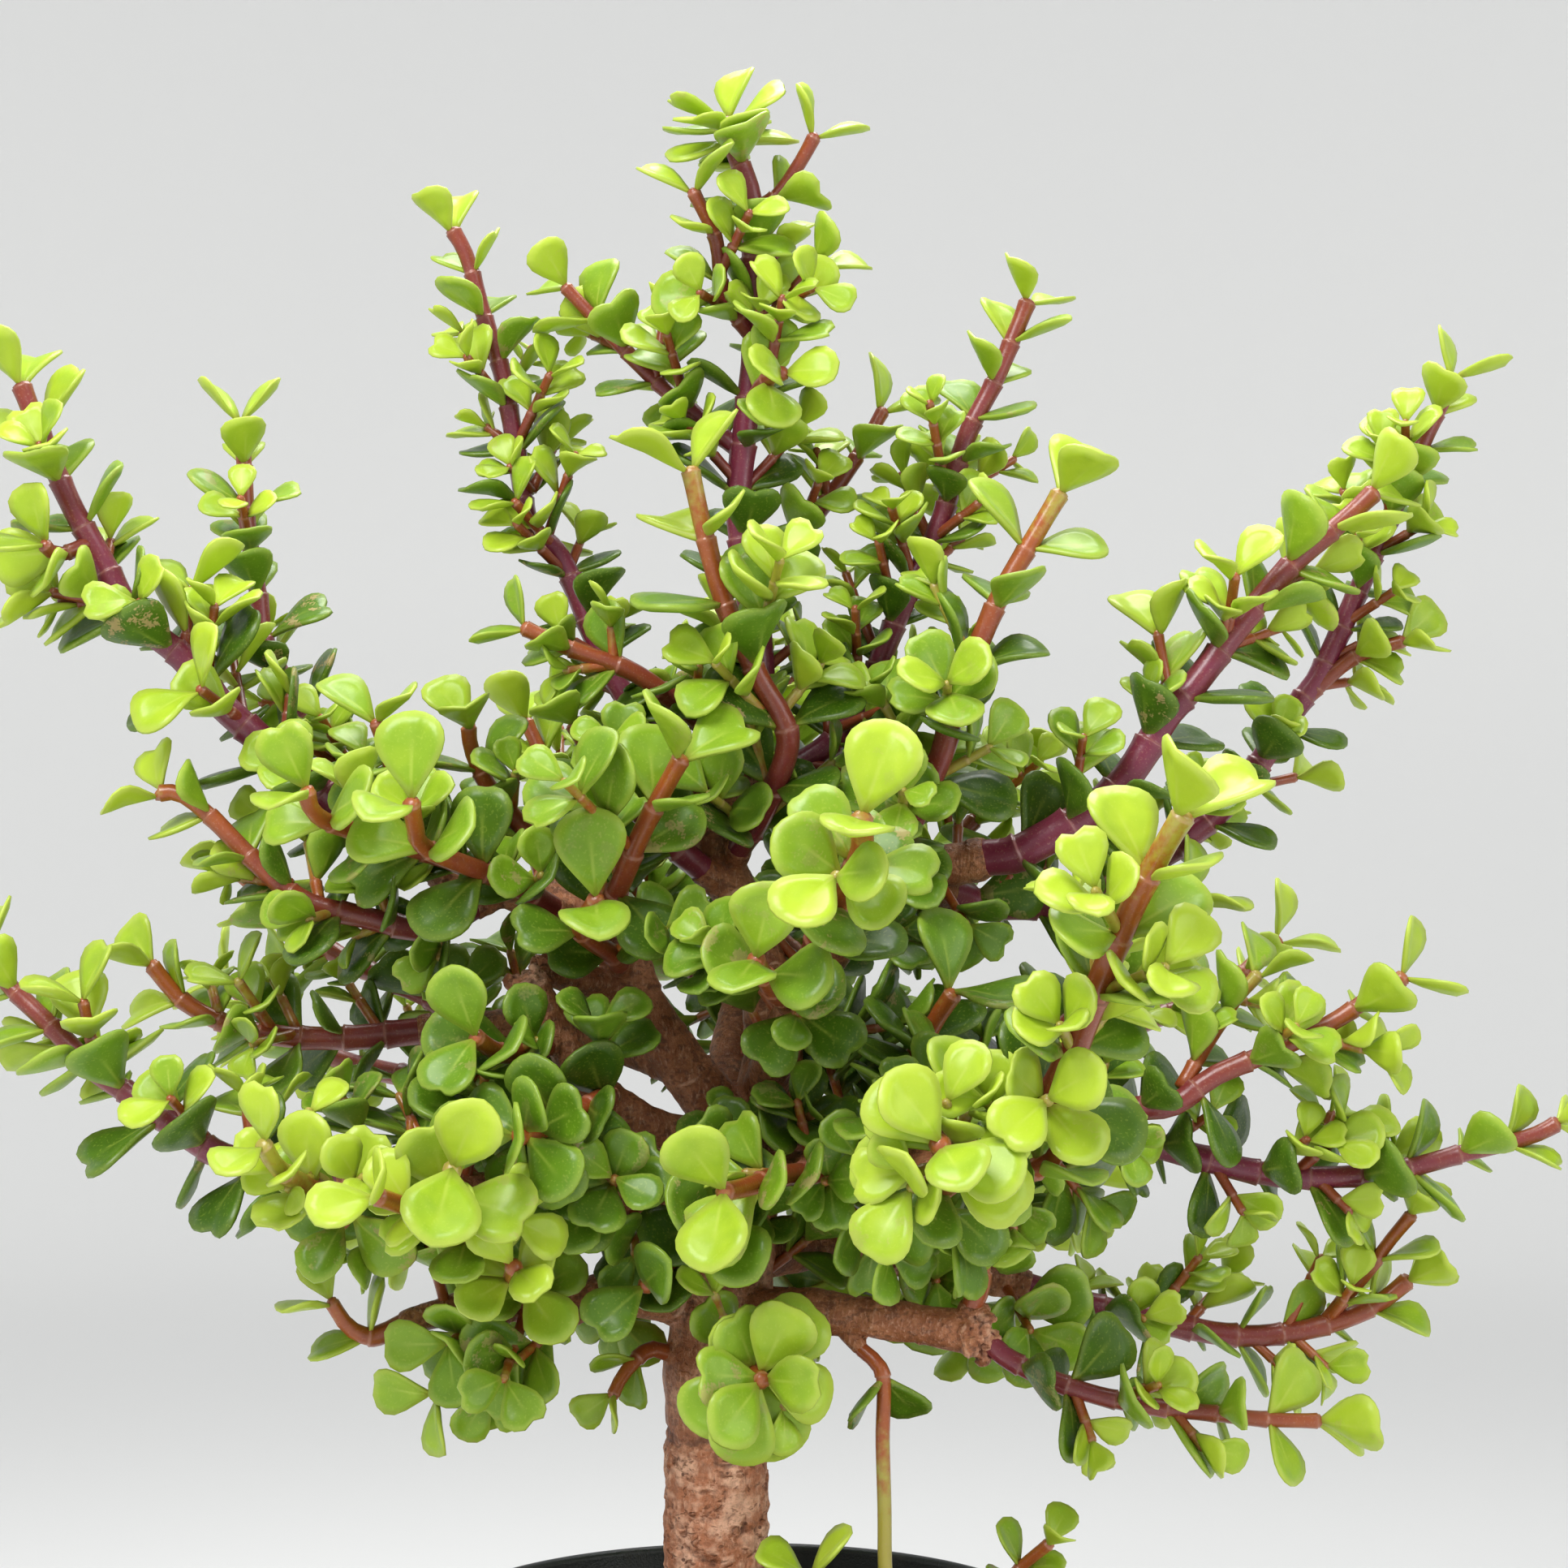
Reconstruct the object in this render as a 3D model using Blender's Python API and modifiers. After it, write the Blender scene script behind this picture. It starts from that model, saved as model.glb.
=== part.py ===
"""A dwarf jade bonsai in its round nursery pot, at its real size, in metres, with +Z up.

The origin is the middle of the pot's underside. The front of the plant faces -Y.
"""

import math
import random

import bmesh
import bpy
from mathutils import Matrix, Quaternion, Vector
from mathutils.bvhtree import BVHTree

MM = 0.001
GAP = 0.3

# The pot and the soil, in millimetres
POT_HEIGHT = 120.0
POT_RIM_RADIUS = 75.0
POT_NECK_RADIUS = 71.5
POT_BASE_RADIUS = 54.0
POT_WALL = 1.6
POT_FLOOR = 2.2
RIM_BAND = 11.0
RIM_LIP = 1.6
POT_EDGE = 0.8
POT_SIDES = 24
DRAIN_HOLES = 6
DRAIN_RADIUS = 3.5
DRAIN_CIRCLE = 40.0
CUTTER_SIDES = 8
SOIL_BELOW_RIM = 15.0
SOIL_RINGS = 4
SOIL_SIDES = 16
SOIL_LUMP = 1.6
SOIL_LEVEL_EDGE = 1.0
SOIL_CLEAR = 0.8
SOIL_CHAMFER = 2.0
HOLE_ABOVE = 5.0

# The viewpoint that the limbs' and shoots' places are given from, in millimetres over the rim
EYE_DISTANCE = 690.0
EYE_X = 10.0
EYE_HEIGHT = 160.0

# How leaves grow
PAIR_STEP = 40.0
LEAF_WIDTH = 0.88
LEAF_THICKNESS = 0.13
THINNEST_LEAF = 1.3
LEAF_CROWN = 0.3
LEAF_EVENNESS = 0.8
LEAF_SPREAD = (0.3, 1.5, -0.72)
PAIRS_TO_AGE = 3
LEAF_SIZES = (0.92, 1.1)
OLD_LEAF_GROWTH = 0.16
YOUNG_RISE = 50.0
OLD_RISE = 32.0
RISE_SPREAD = 14.0
YOUNG_FOLD = 0.32
OLD_FOLD = 0.14
YOUNG_BEND = -0.16
OLD_BEND = -0.08
BEND_SPREAD = 0.04
TURN_SPREAD = 9.0
PAIR_TURN_SPREAD = 10.0
LEAF_CORNERS = 7
ROOT_SUNK = 0.45
TIP_LEAF_BACK = 1.0
BARE_FOOT = 8.0
BARE_SIDE_FOOT = 7.0
SIDE_LEAF_SHARE = 0.9
SIDE_STEM_SHARE = 0.72
SIDE_TIP_RADIUS = 1.7
TWIG_RADII = (1.6, 1.3)
TWIG_LEAN = 0.8
TWIG_LIFT = 0.3
MOST_LEAN = 0.9
STEM_STEP = 28.0
LIMB_STEP = 22.0
CURVE_STEP = 2.0
STUMP_ROUNDNESS = 3
STEM_ROUNDNESS = 1
LEAST_FLATS = 4
COLLAR_OUT = 1.0
CLEAR_OF_RIM = 1.5
FLAT_ANGLE = 1.5
LIGHT = Vector((0.1, -0.6, 0.8))
TURN_TO_LIGHT = 0.6
MERGED_APART = 0.001
CAP_APART = 0.01
TESTED_SWELL = 1.06
TESTED_MARGIN = 0.35
TURNS_TO_TRY = (0, 18, -18, 36, -36)
RISES_TO_TRY = (0, 18, -18)

# Each limb: places as x, height over the rim, depth and radius
LIMBS = {
    "stump": [(-6.4, -44, 0, 13.0), (-6.4, -16, 0, 13.0), (-6.4, 0, 0, 13.3), (-6.4, 14, 0, 12.3),
              (-6.4, 35, 0, 12.4), (-6.2, 54, 0, 12.7), (-5.5, 68, 0, 13.2), (-4, 84, 1, 12.2),
              (-1, 98, 2, 11.2), (2, 110, 3, 10.6), (3, 121, 3, 9.0)],
    "left": [(1, 112, 3, 8), (-11, 126, 3, 7), (-20, 138, 2, 6.3), (-26, 148, 1, 6),
             (-29.5, 157, 0, 5.8), (-40, 167.5, -1, 5.5), (-55, 173, 0, 5), (-72, 178, 3, 4.4)],
    "upright": [(2, 112, 3, 8.5), (7, 130, 5, 7.5), (6, 150, 7, 6.8), (-1, 170, 8, 6.3),
                (-7, 188, 8, 5.8), (-4, 204, 8, 5.2), (2, 214, 8, 4.6)],
    "upper_right": [(6, 134, 5, 6.5), (16, 152, 8, 6), (27, 166, 10, 5.8), (40, 177, 10, 5.6),
                    (56, 181, 8, 5.3)],
    "right": [(2, 104, 2, 6.5), (18, 108, 6, 6), (36, 112, 10, 5.6), (58, 115, 12, 5.2), (78, 115, 14, 4.4)],
    "right_back": [(-1, 84, 4, 6.5), (20, 87, 16, 6), (42, 84, 24, 5.2), (66, 78, 28, 4.4)],
    "lower_right": [(-2, 70, -3, 6.5), (14, 71, -12, 5.8), (32, 69.6, -16, 5.0), (46, 67.5, -18, 4.7),
                    (58, 65.6, -18, 5.2)],
    "lower_left": [(-6, 70, 0, 6.5), (-18, 74, -3, 5.8), (-34, 75.6, -6, 5.0), (-45, 71.6, -7, 4.6),
                   (-62, 73.5, -9, 4.0), (-80, 69, -11, 3.2)],
    "front": [(5, 124, 2, 6), (9, 136, -14, 5.4), (14, 148, -30, 4.8), (17, 155, -38, 4.2)],
    "front_right": [(2, 104, -2, 6.2), (18, 104, -20, 5.6), (38, 107, -40, 5), (58, 111, -56, 4.4)],
    "left_low": [(-2, 104, 0, 5.5), (-20, 100, -12, 5), (-45, 98, -22, 4.6), (-70, 101, -28, 4.2),
                 (-95, 104, -32, 3.6)],
    "left_back": [(-14, 130, 4, 5.5), (-32, 137, 14, 5), (-55, 140, 20, 4.6), (-76, 139.6, 22, 4.0)],
    "sawn_high": [(-27, 149, 1, 4), (-38, 151.5, -5, 3.8), (-51, 154.6, -10, 3.6)],
    "sawn_low": [(-8, 112, -2, 5), (-24, 117, -9, 4.6), (-39, 127.6, -14, 4.3), (-47, 142, -16, 4.1),
                 (-53, 152, -17, 3.9)],
    "back": [(-1, 108, 6, 6.5), (-4, 122, 24, 5.8), (-2, 140, 44, 5.2), (4, 158, 60, 4.4)],
    "back_left": [(-4, 96, 4, 6), (-20, 106, 24, 5.4), (-44, 116, 42, 4.8), (-66, 124, 56, 4.0)],
    "back_right": [(0, 98, 5, 6), (22, 108, 26, 5.4), (46, 120, 44, 4.8), (66, 130, 58, 4.0)],
}

# Each shoot: the limb it grows from and how far along it, its places as x, height over the rim and
# depth, its radius at the base and at the tip, its leaves' length, its side stems (how far along, then
# places), and its side twigs (how far along, turn about the stem in degrees, length)
SHOOTS = {
    "leader": dict(
        limb="upright", at=1.0, radii=(4.2, 2.5), leaf=16,
        way=[(4, 230, 8), (-1, 265.6, 8), (0, 285.6, 7), (3, 313.6, 6), (2, 331.6, 5), (2, 346.6, 4),
             (-2, 357.6, 4), (-5, 367, 4)],
        sides=[(0.62, [(-5, 322, 0), (-7, 336, -4), (-13, 349, -8)]),
               (0.84, [(8, 347, 4), (14, 355.6, 2), (18, 363, 0)]),
               (0.64, [(8, 318, 2), (14, 325, -2), (19, 330.6, -4)]),
               (0.43, [(-12, 292, 10), (-21, 299.6, 12), (-31, 309.6, 13), (-45, 324.6, 14)]),
               (0.19, [(9, 256, 14), (17, 265.6, 18), (27, 279.6, 20), (35, 293.6, 22)]),
               (0.50, [(5, 300, -6), (10, 302.6, -18)])]),
    "left_spire": dict(
        limb="upright", at=0.78, radii=(3.4, 2.0), leaf=14,
        way=[(-20, 207, 12), (-34, 230, 16), (-45, 255.6, 18), (-53, 264, 19), (-56, 279.6, 20),
             (-60, 301.6, 20), (-65, 317.6, 20), (-69, 331.6, 20), (-73, 339, 20)],
        twigs=[(0.42, 200, 15)]),
    "front_spire": dict(
        limb="upright", at=0.66, radii=(3.3, 2.2), leaf=19,
        way=[(5, 194, -14), (11, 211.6, -26), (3, 227.6, -30), (-5, 245.6, -33), (-10, 263.6, -36),
             (-13.4, 279, -38)]),
    "right_spire": dict(
        limb="upright", at=0.86, radii=(3.6, 2.2), leaf=14,
        way=[(14, 205, 14), (27, 216, 14), (39, 243.6, 12), (49, 265.6, 12), (55, 285.6, 12),
             (63, 301.6, 12), (71, 321, 12)],
        twigs=[(0.6, 330, 14)]),
    "right_inner": dict(
        limb="upper_right", at=0.62, radii=(3.4, 2.2), leaf=18,
        way=[(42, 192, -6), (49, 207.6, -16), (53, 221.6, -20), (63, 245.6, -22), (71, 259.6, -22),
             (79, 273, -22)]),
    "right_bough": dict(
        limb="upper_right", at=1.0, radii=(5.0, 2.4), leaf=17,
        way=[(69, 183.6, 4), (91, 197.6, 2), (105, 217.6, 2), (111, 224, 2), (123, 239.6, 4),
             (135, 253.6, 6), (149, 265.6, 8), (157, 273, 8)],
        twigs=[(0.44, 60, 16), (0.6, 110, 15), (0.74, 290, 14)]),
    "right_tower": dict(
        limb="upper_right", at=0.8, radii=(4.4, 2.2), leaf=15,
        way=[(62, 170, 28), (88, 174, 36), (118, 194, 36), (137, 219.6, 34), (143, 228, 34),
             (153, 249.6, 34), (161, 267.6, 34), (169, 285.6, 34), (177, 302, 34)],
        sides=[(0.55, [(149, 230, 32), (157, 233.6, 30), (164, 235.6, 28)])],
        twigs=[(0.42, 250, 16)]),
    "left_bough": dict(
        limb="left", at=1.0, radii=(4.8, 2.4), leaf=18,
        way=[(-90, 186, 4), (-104, 199, 2), (-115, 207.6, 0), (-129, 219.6, -2), (-139, 231.6, -2),
             (-151, 241.6, -4), (-159, 255.6, -4), (-167, 269.6, -6), (-175, 287.6, -6), (-180, 300, -6)],
        sides=[(0.73, [(-170, 257, -10), (-174, 260, -14)]),
               (0.10, [(-86, 200, -4), (-91, 216, -10)])],
        twigs=[(0.36, 30, 15), (0.5, 160, 16), (0.62, 320, 16)]),
    "left_tower": dict(
        limb="left", at=0.82, radii=(3.4, 2.1), leaf=15,
        way=[(-78, 186, 22), (-100, 206, 28), (-117, 231.6, 28), (-120, 245.6, 28), (-123, 263.6, 28),
             (-124, 277.6, 28), (-125, 291, 28)],
        twigs=[(0.3, 40, 15)]),
    "left_fan": dict(
        limb="left", at=0.86, radii=(3.4, 2.0), leaf=15,
        way=[(-77, 164, -8), (-95, 167.6, -12), (-109, 171.6, -12), (-121, 181.6, -12),
             (-131, 191.6, -12), (-139, 197.6, -12), (-145, 197.6, -12)],
        twigs=[(0.45, 180, 18)]),
    "left_rosette_a": dict(
        limb="left", at=0.66, radii=(3.0, 2.0), leaf=19,
        way=[(-58, 176, -22), (-78, 184, -40), (-81, 190, -48), (-82, 196, -54)]),
    "left_rosette_b": dict(
        limb="left", at=0.78, radii=(3.0, 2.0), leaf=18,
        way=[(-74, 182, -18), (-98, 189, -32), (-106, 193, -42), (-108, 199, -46)]),
    "left_rosette_c": dict(
        limb="left", at=0.72, radii=(3.0, 1.9), leaf=16,
        way=[(-52, 186, 10), (-62, 198, 8), (-67, 208, 4), (-68, 215, 2)]),
    "left_wing": dict(
        limb="left_back", at=1.0, radii=(3.8, 2.0), leaf=15,
        way=[(-97, 137.6, 20), (-113, 138, 18), (-127, 141, 16), (-138, 147, 14), (-146, 156, 12)],
        twigs=[(0.5, 90, 15)]),
    "left_wing_back": dict(
        limb="left_back", at=0.85, radii=(3.2, 1.9), leaf=16,
        way=[(-78, 148, 34), (-96, 156, 44), (-112, 166, 50), (-124, 178, 54)]),
    "left_sweep": dict(
        limb="left_low", at=1.0, radii=(3.8, 2.0), leaf=17,
        way=[(-112, 105, -32), (-125, 108, -32), (-133, 111.6, -32), (-147, 121.6, -30),
             (-159, 129.6, -28), (-169, 139.6, -26), (-179, 149, -24), (-187, 158, -22)],
        twigs=[(0.62, 100, 14)]),
    "yellow_rosette_a": dict(
        limb="left_low", at=0.9, radii=(2.9, 2.0), leaf=15,
        way=[(-98, 99, -44), (-107, 101.6, -56), (-114, 106, -66), (-118, 112, -72)]),
    "yellow_rosette_b": dict(
        limb="left_low", at=0.62, radii=(3.0, 2.0), leaf=15,
        way=[(-62, 88, -40), (-76, 94, -62), (-84, 97, -74), (-90, 99, -82)]),
    "yellow_rosette_c": dict(
        limb="left_low", at=0.74, radii=(3.0, 2.0), leaf=20,
        way=[(-72, 98, -44), (-73, 100, -60), (-71, 106, -72)]),
    "yellow_rosette_d": dict(
        limb="lower_left", at=0.62, radii=(2.8, 1.9), leaf=14,
        way=[(-52, 76, -24), (-56, 79, -42), (-56, 82, -56)]),
    "low_left_tip": dict(
        limb="lower_left", at=1.0, radii=(2.9, 1.6), leaf=15,
        way=[(-90, 65, -12), (-96, 67, -14), (-101, 74, -16)]),
    "low_left_hanger": dict(
        limb="lower_left", at=0.7, radii=(2.4, 1.6), leaf=15,
        way=[(-62, 62, -14), (-70, 57, -18), (-76, 50, -20)]),
    "low_left_sprig": dict(
        limb="stump", at=0.62, radii=(2.2, 1.5), leaf=11,
        way=[(-23, 62, -8), (-29, 56, -12), (-32, 50, -14)]),
    "left_heart": dict(
        limb="sawn_low", at=0.45, radii=(3.0, 2.0), leaf=18,
        way=[(-36, 122, -34), (-47, 116, -48), (-56, 113, -56)]),
    "left_mid": dict(
        limb="sawn_low", at=0.75, radii=(3.0, 2.0), leaf=18,
        way=[(-52, 134, -24), (-60, 134, -36), (-66, 138, -46)]),
    "centre_left": dict(
        limb="left", at=0.6, radii=(3.2, 2.1), leaf=19,
        way=[(-34, 168, -16), (-30, 176, -30), (-26, 186, -38), (-21, 196, -44), (-15, 207, -48)]),
    "centre_left_low": dict(
        limb="left", at=0.5, radii=(2.8, 2.0), leaf=19,
        way=[(-32, 158, -16), (-40, 164, -32), (-36, 172, -46)]),
    "mid_left_twig": dict(
        limb="upright", at=0.93, radii=(2.9, 1.9), leaf=14,
        way=[(-14, 218, 0), (-27, 227.6, -6), (-43, 233.6, -8), (-55, 239, -8)]),
    "dark_stub_shoot": dict(
        limb="upright", at=0.58, radii=(3.6, 2.6), leaf=15,
        way=[(-16, 184, -4), (-26, 194, -6), (-36, 206, -8), (-42, 216, -8)]),
    "front_bough": dict(
        limb="front", at=1.0, radii=(4.0, 2.4), leaf=20,
        way=[(19, 162, -48), (24, 173, -64), (29, 183, -78), (29, 192, -88)],
        twigs=[(0.6, 20, 15)]),
    "front_rosette": dict(
        limb="front", at=0.7, radii=(3.0, 2.0), leaf=18,
        way=[(8, 149, -42), (5, 153, -58), (3, 157, -70)]),
    "front_low_rosette": dict(
        limb="front_right", at=0.42, radii=(3.0, 2.1), leaf=19,
        way=[(10, 104, -44), (0, 101, -58), (-5, 100, -68)]),
    "right_front_bough": dict(
        limb="front_right", at=1.0, radii=(3.8, 2.5), leaf=19,
        way=[(67, 114, -66), (74, 122, -78), (80, 132, -86), (88, 152, -98), (97, 172, -108),
             (104, 185, -114), (109, 193, -118)],
        twigs=[(0.2, 20, 15), (0.45, 200, 14)]),
    "big_rosette": dict(
        limb="front_right", at=0.75, radii=(3.2, 2.2), leaf=19,
        way=[(50, 102, -66), (50, 106, -82), (48, 112, -96)],
        twigs=[(0.45, 10, 12), (0.5, 190, 12)]),
    "front_right_low": dict(
        limb="front_right", at=0.9, radii=(2.8, 1.9), leaf=17,
        way=[(66, 104, -56), (76, 108, -66), (80, 120, -62)]),
    "right_horizontal": dict(
        limb="right", at=1.0, radii=(4.0, 2.0), leaf=16,
        way=[(93, 113.6, 14), (111, 108.6, 14), (125, 105, 14), (137, 103.6, 14), (157, 104.6, 14),
             (177, 109.6, 14), (193, 113.6, 14), (200, 117, 14)],
        twigs=[(0.45, 90, 15)]),
    "right_climber": dict(
        limb="right", at=0.86, radii=(3.4, 2.0), leaf=16,
        way=[(92, 120, -4), (105, 121, -6), (115, 128, -6), (129, 134, -6), (145, 141.6, -6),
             (157, 149.6, -6), (163, 152.6, -6)],
        sides=[(0.35, [(115, 138, 0), (121, 147, 2), (127, 153.6, 2)])],
        twigs=[(0.55, 270, 14)]),
    "right_thicket": dict(
        limb="right", at=0.7, radii=(3.4, 2.0), leaf=17,
        way=[(66, 130, 20), (82, 143, 24), (98, 158, 26), (110, 172, 26)],
        twigs=[(0.5, 180, 15)]),
    "right_leaf_fan": dict(
        limb="right", at=0.45, radii=(3.2, 2.1), leaf=20,
        way=[(40, 128, -6), (46, 140, -14), (52, 149, -20)]),
    "lower_right_red": dict(
        limb="lower_right", at=1.0, radii=(2.6, 1.7), leaf=16,
        way=[(64, 60, -20), (74, 55, -22), (87, 50.6, -24), (100, 48, -26), (113, 46.6, -26),
             (127, 45, -26), (141, 44.6, -26)]),
    "lower_right_riser": dict(
        limb="lower_right", at=0.93, radii=(2.8, 1.8), leaf=12,
        way=[(58, 78, -20), (58, 88, -20), (57, 97, -20)]),
    "hanging_shoot": dict(
        limb="lower_right", at=0.42, radii=(1.9, 1.7), leaf=14,
        way=[(34, 56, -20), (34, 40, -20), (34.4, 24, -20), (34.6, 8, -20), (36, -6, -20)]),
    "right_low_bough": dict(
        limb="right_back", at=1.0, radii=(4.0, 2.2), leaf=15,
        way=[(82, 73, 28), (97, 69.6, 28), (117, 65.6, 28), (131, 65.6, 28), (145, 68.6, 28),
             (155, 73, 28), (163, 79, 28)],
        sides=[(0.76, [(152, 80, 24), (158, 88, 22), (164, 95, 20)])],
        twigs=[(0.4, 0, 15)]),
    "low_front_rosette": dict(
        limb="stump", at=0.66, radii=(2.8, 2.0), leaf=17,
        way=[(-2, 62, -24), (2, 57, -34), (5, 54, -42)]),
    "heart_leaves": dict(
        limb="stump", at=0.84, radii=(2.8, 2.0), leaf=20,
        way=[(-8, 94, -22), (-9, 92, -34), (-8, 93, -42)]),
    "dark_collar": dict(
        limb="stump", at=0.76, radii=(2.6, 1.9), leaf=18,
        way=[(-18, 82, -18), (-22, 79, -28), (-24, 77, -34)]),
    "soil_sprig": dict(
        limb="soil", at=(58, -24, 4), radii=(1.8, 1.5), leaf=11,
        way=[(58, -8, 4), (61, 1, 2), (67, 9, 0), (75, 15.6, -4)]),
    "soil_clump": dict(
        limb="soil", at=(20, -24, -24), radii=(1.8, 1.5), leaf=14,
        way=[(20, -8, -24), (18, 1, -26), (16, 8, -29)]),
    "back_centre": dict(
        limb="back", at=1.0, radii=(3.8, 2.1), leaf=16,
        way=[(10, 172, 70), (12, 190, 78), (10, 210, 84), (4, 232, 88), (0, 250, 88)],
        twigs=[(0.4, 180, 15)]),
    "back_high_left": dict(
        limb="back", at=0.78, radii=(3.4, 2.0), leaf=16,
        way=[(-16, 158, 62), (-30, 176, 72), (-44, 196, 78), (-54, 216, 82)]),
    "back_high_right": dict(
        limb="back", at=0.86, radii=(3.4, 2.0), leaf=16,
        way=[(20, 156, 68), (38, 172, 80), (56, 190, 88), (70, 206, 92)]),
    "back_left_low": dict(
        limb="back_left", at=1.0, radii=(3.6, 2.0), leaf=16,
        way=[(-82, 128, 66), (-98, 132, 76), (-114, 140, 84), (-128, 152, 90)],
        twigs=[(0.4, 270, 15)]),
    "back_left_drop": dict(
        limb="back_left", at=0.7, radii=(3.2, 1.9), leaf=16,
        way=[(-54, 108, 58), (-66, 98, 74), (-78, 92, 88), (-88, 92, 100)]),
    "back_right_low": dict(
        limb="back_right", at=1.0, radii=(3.6, 2.0), leaf=16,
        way=[(82, 136, 68), (100, 142, 78), (118, 150, 86), (132, 162, 90)],
        twigs=[(0.4, 90, 15)]),
    "back_right_drop": dict(
        limb="back_right", at=0.7, radii=(3.2, 1.9), leaf=16,
        way=[(58, 112, 62), (68, 104, 80), (78, 100, 94), (86, 102, 106)]),
}

COLOURS = {
    "pot": (0.012, 0.014, 0.013),
    "soil": (0.045, 0.03, 0.02),
    "trunk": (0.36, 0.19, 0.12),
    "shoot": (0.2, 0.4, 0.04),
}
ROUGHNESS = {"pot": 0.4, "soil": 0.95, "trunk": 0.8, "shoot": 0.35}


def front_view(x, height, depth):
    """A place given as the front view shows it, moved along its line of sight to its depth."""
    reach = (EYE_DISTANCE + depth) / EYE_DISTANCE
    return Vector((EYE_X + (x - EYE_X) * reach, depth, EYE_HEIGHT + (height - EYE_HEIGHT) * reach))


def smooth(points, step):
    """Places about a step apart on the smooth curve that runs through the given points."""
    ends = [points[0] * 2 - points[1]] + list(points) + [points[-1] * 2 - points[-2]]
    curve = [points[0]]
    for before, start, stop, after in zip(ends, ends[1:], ends[2:], ends[3:]):
        pieces = max(1, round((stop - start).length / step))
        for piece in range(1, pieces):
            t = piece / pieces
            curve.append(0.5 * ((2 * start) + (stop - before) * t
                                + (2 * before - 5 * start + 4 * stop - after) * t ** 2
                                + (3 * start - before - 3 * stop + after) * t ** 3))
        curve.append(stop)
    return curve


class Stem:
    """A stem of straight pieces along a smooth path, with a frame at any distance and a thickness."""

    def __init__(self, points, radii, step):
        curve = smooth(points, CURVE_STEP)
        runs = [0.0]
        for start, stop in zip(curve, curve[1:]):
            runs.append(runs[-1] + (stop - start).length)
        first = runs[curve.index(points[1])]
        spans = max(1, round((runs[-1] - first) / step)) if len(points) > 2 else 0
        picks = [first + (runs[-1] - first) * span / spans for span in range(1, spans + 1)]
        self.radii = radii
        self.path = [points[0], points[1]] + [self.between(curve, runs, pick) for pick in picks]
        self.marks = [0.0]
        for start, stop in zip(self.path, self.path[1:]):
            self.marks.append(self.marks[-1] + (stop - start).length)
        self.length = self.marks[-1]
        self.sides = [(self.path[1] - self.path[0]).orthogonal().normalized()]
        for start, stop in zip(self.path, self.path[1:]):
            way = (stop - start).normalized()
            side = self.sides[-1] - way * self.sides[-1].dot(way)
            self.sides.append(side.normalized())

    @staticmethod
    def between(places, marks, distance):
        """The place at a distance along a line of places."""
        index = 0
        while index < len(marks) - 2 and marks[index + 1] < distance:
            index += 1
        t = (distance - marks[index]) / (marks[index + 1] - marks[index])
        return places[index].lerp(places[index + 1], t)

    def frame(self, distance):
        """The place, the direction and a direction to one side, at a distance along the path."""
        distance = min(max(distance, 0.0), self.length)
        index = 0
        while index < len(self.marks) - 2 and self.marks[index + 1] < distance:
            index += 1
        way = (self.path[index + 1] - self.path[index]).normalized()
        return self.between(self.path, self.marks, distance), way, self.sides[index + 1]

    def radius(self, distance):
        """The thickness there, even from the base to the tip or through the listed radii."""
        part = min(max(distance / self.length, 0.0), 1.0) * (len(self.radii) - 1)
        index = min(int(part), len(self.radii) - 2)
        return self.radii[index] + (self.radii[index + 1] - self.radii[index]) * (part - index)

    def corner_radii(self):
        """The radius at each corner of the tube."""
        return [self.radius(mark) for mark in self.marks]


def limb_stem(name):
    """A limb's path, with its listed radius at each listed place."""
    places = LIMBS[name]
    return Stem([front_view(*place[:3]) for place in places], [place[3] for place in places], LIMB_STEP)


def shoot_base(name, limbs):
    """Where a shoot's stem starts, its direction, and how far out the stub under it ends."""
    shoot = SHOOTS[name]
    first = front_view(*shoot["way"][0])
    thick = shoot["radii"][0]
    if shoot["limb"] == "soil":
        start = front_view(*shoot["at"])
        return start, (first - start).normalized(), 0.0
    limb = limbs[shoot["limb"]]
    start, limb_way, _ = limb.frame(shoot["at"] * limb.length)
    way = (first - start).normalized()
    lean = min(abs(way.dot(limb_way)), MOST_LEAN)
    across = math.sqrt(1 - lean ** 2)
    if shoot["at"] == 1.0:
        return start, way, 2 * COLLAR_OUT + thick * across / lean
    around = limb.radius(shoot["at"] * limb.length)
    return start, way, (around + COLLAR_OUT + thick * lean) / across


def main_stem(name, limbs):
    """The stem of a shoot, from just past its stub to its tip."""
    start, way, out = shoot_base(name, limbs)
    shoot = SHOOTS[name]
    root = start + way * (out + GAP)
    return Stem([root] + [front_view(*place) for place in shoot["way"]], shoot["radii"], STEM_STEP)


def side_stems(name, stem):
    """The side stems and twigs of a shoot, each with its own path."""
    shoot = SHOOTS[name]
    grown = []
    for part, way in shoot.get("sides", ()):
        place, _, _ = stem.frame(part * stem.length)
        thick = stem.radius(part * stem.length) * SIDE_STEM_SHARE
        points = [place] + [front_view(*spot) for spot in way]
        grown.append(Stem(points, (thick, SIDE_TIP_RADIUS), STEM_STEP))
    for part, turn, reach in shoot.get("twigs", ()):
        place, way, side = stem.frame(part * stem.length)
        out = Quaternion(way, math.radians(turn)) @ side
        thick = stem.radius(part * stem.length)
        aim = (out + way * TWIG_LEAN + Vector((0, 0, TWIG_LIFT))).normalized()
        tip = place + aim * (thick + reach)
        grown.append(Stem([place, tip], TWIG_RADII, STEM_STEP))
    return grown


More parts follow.
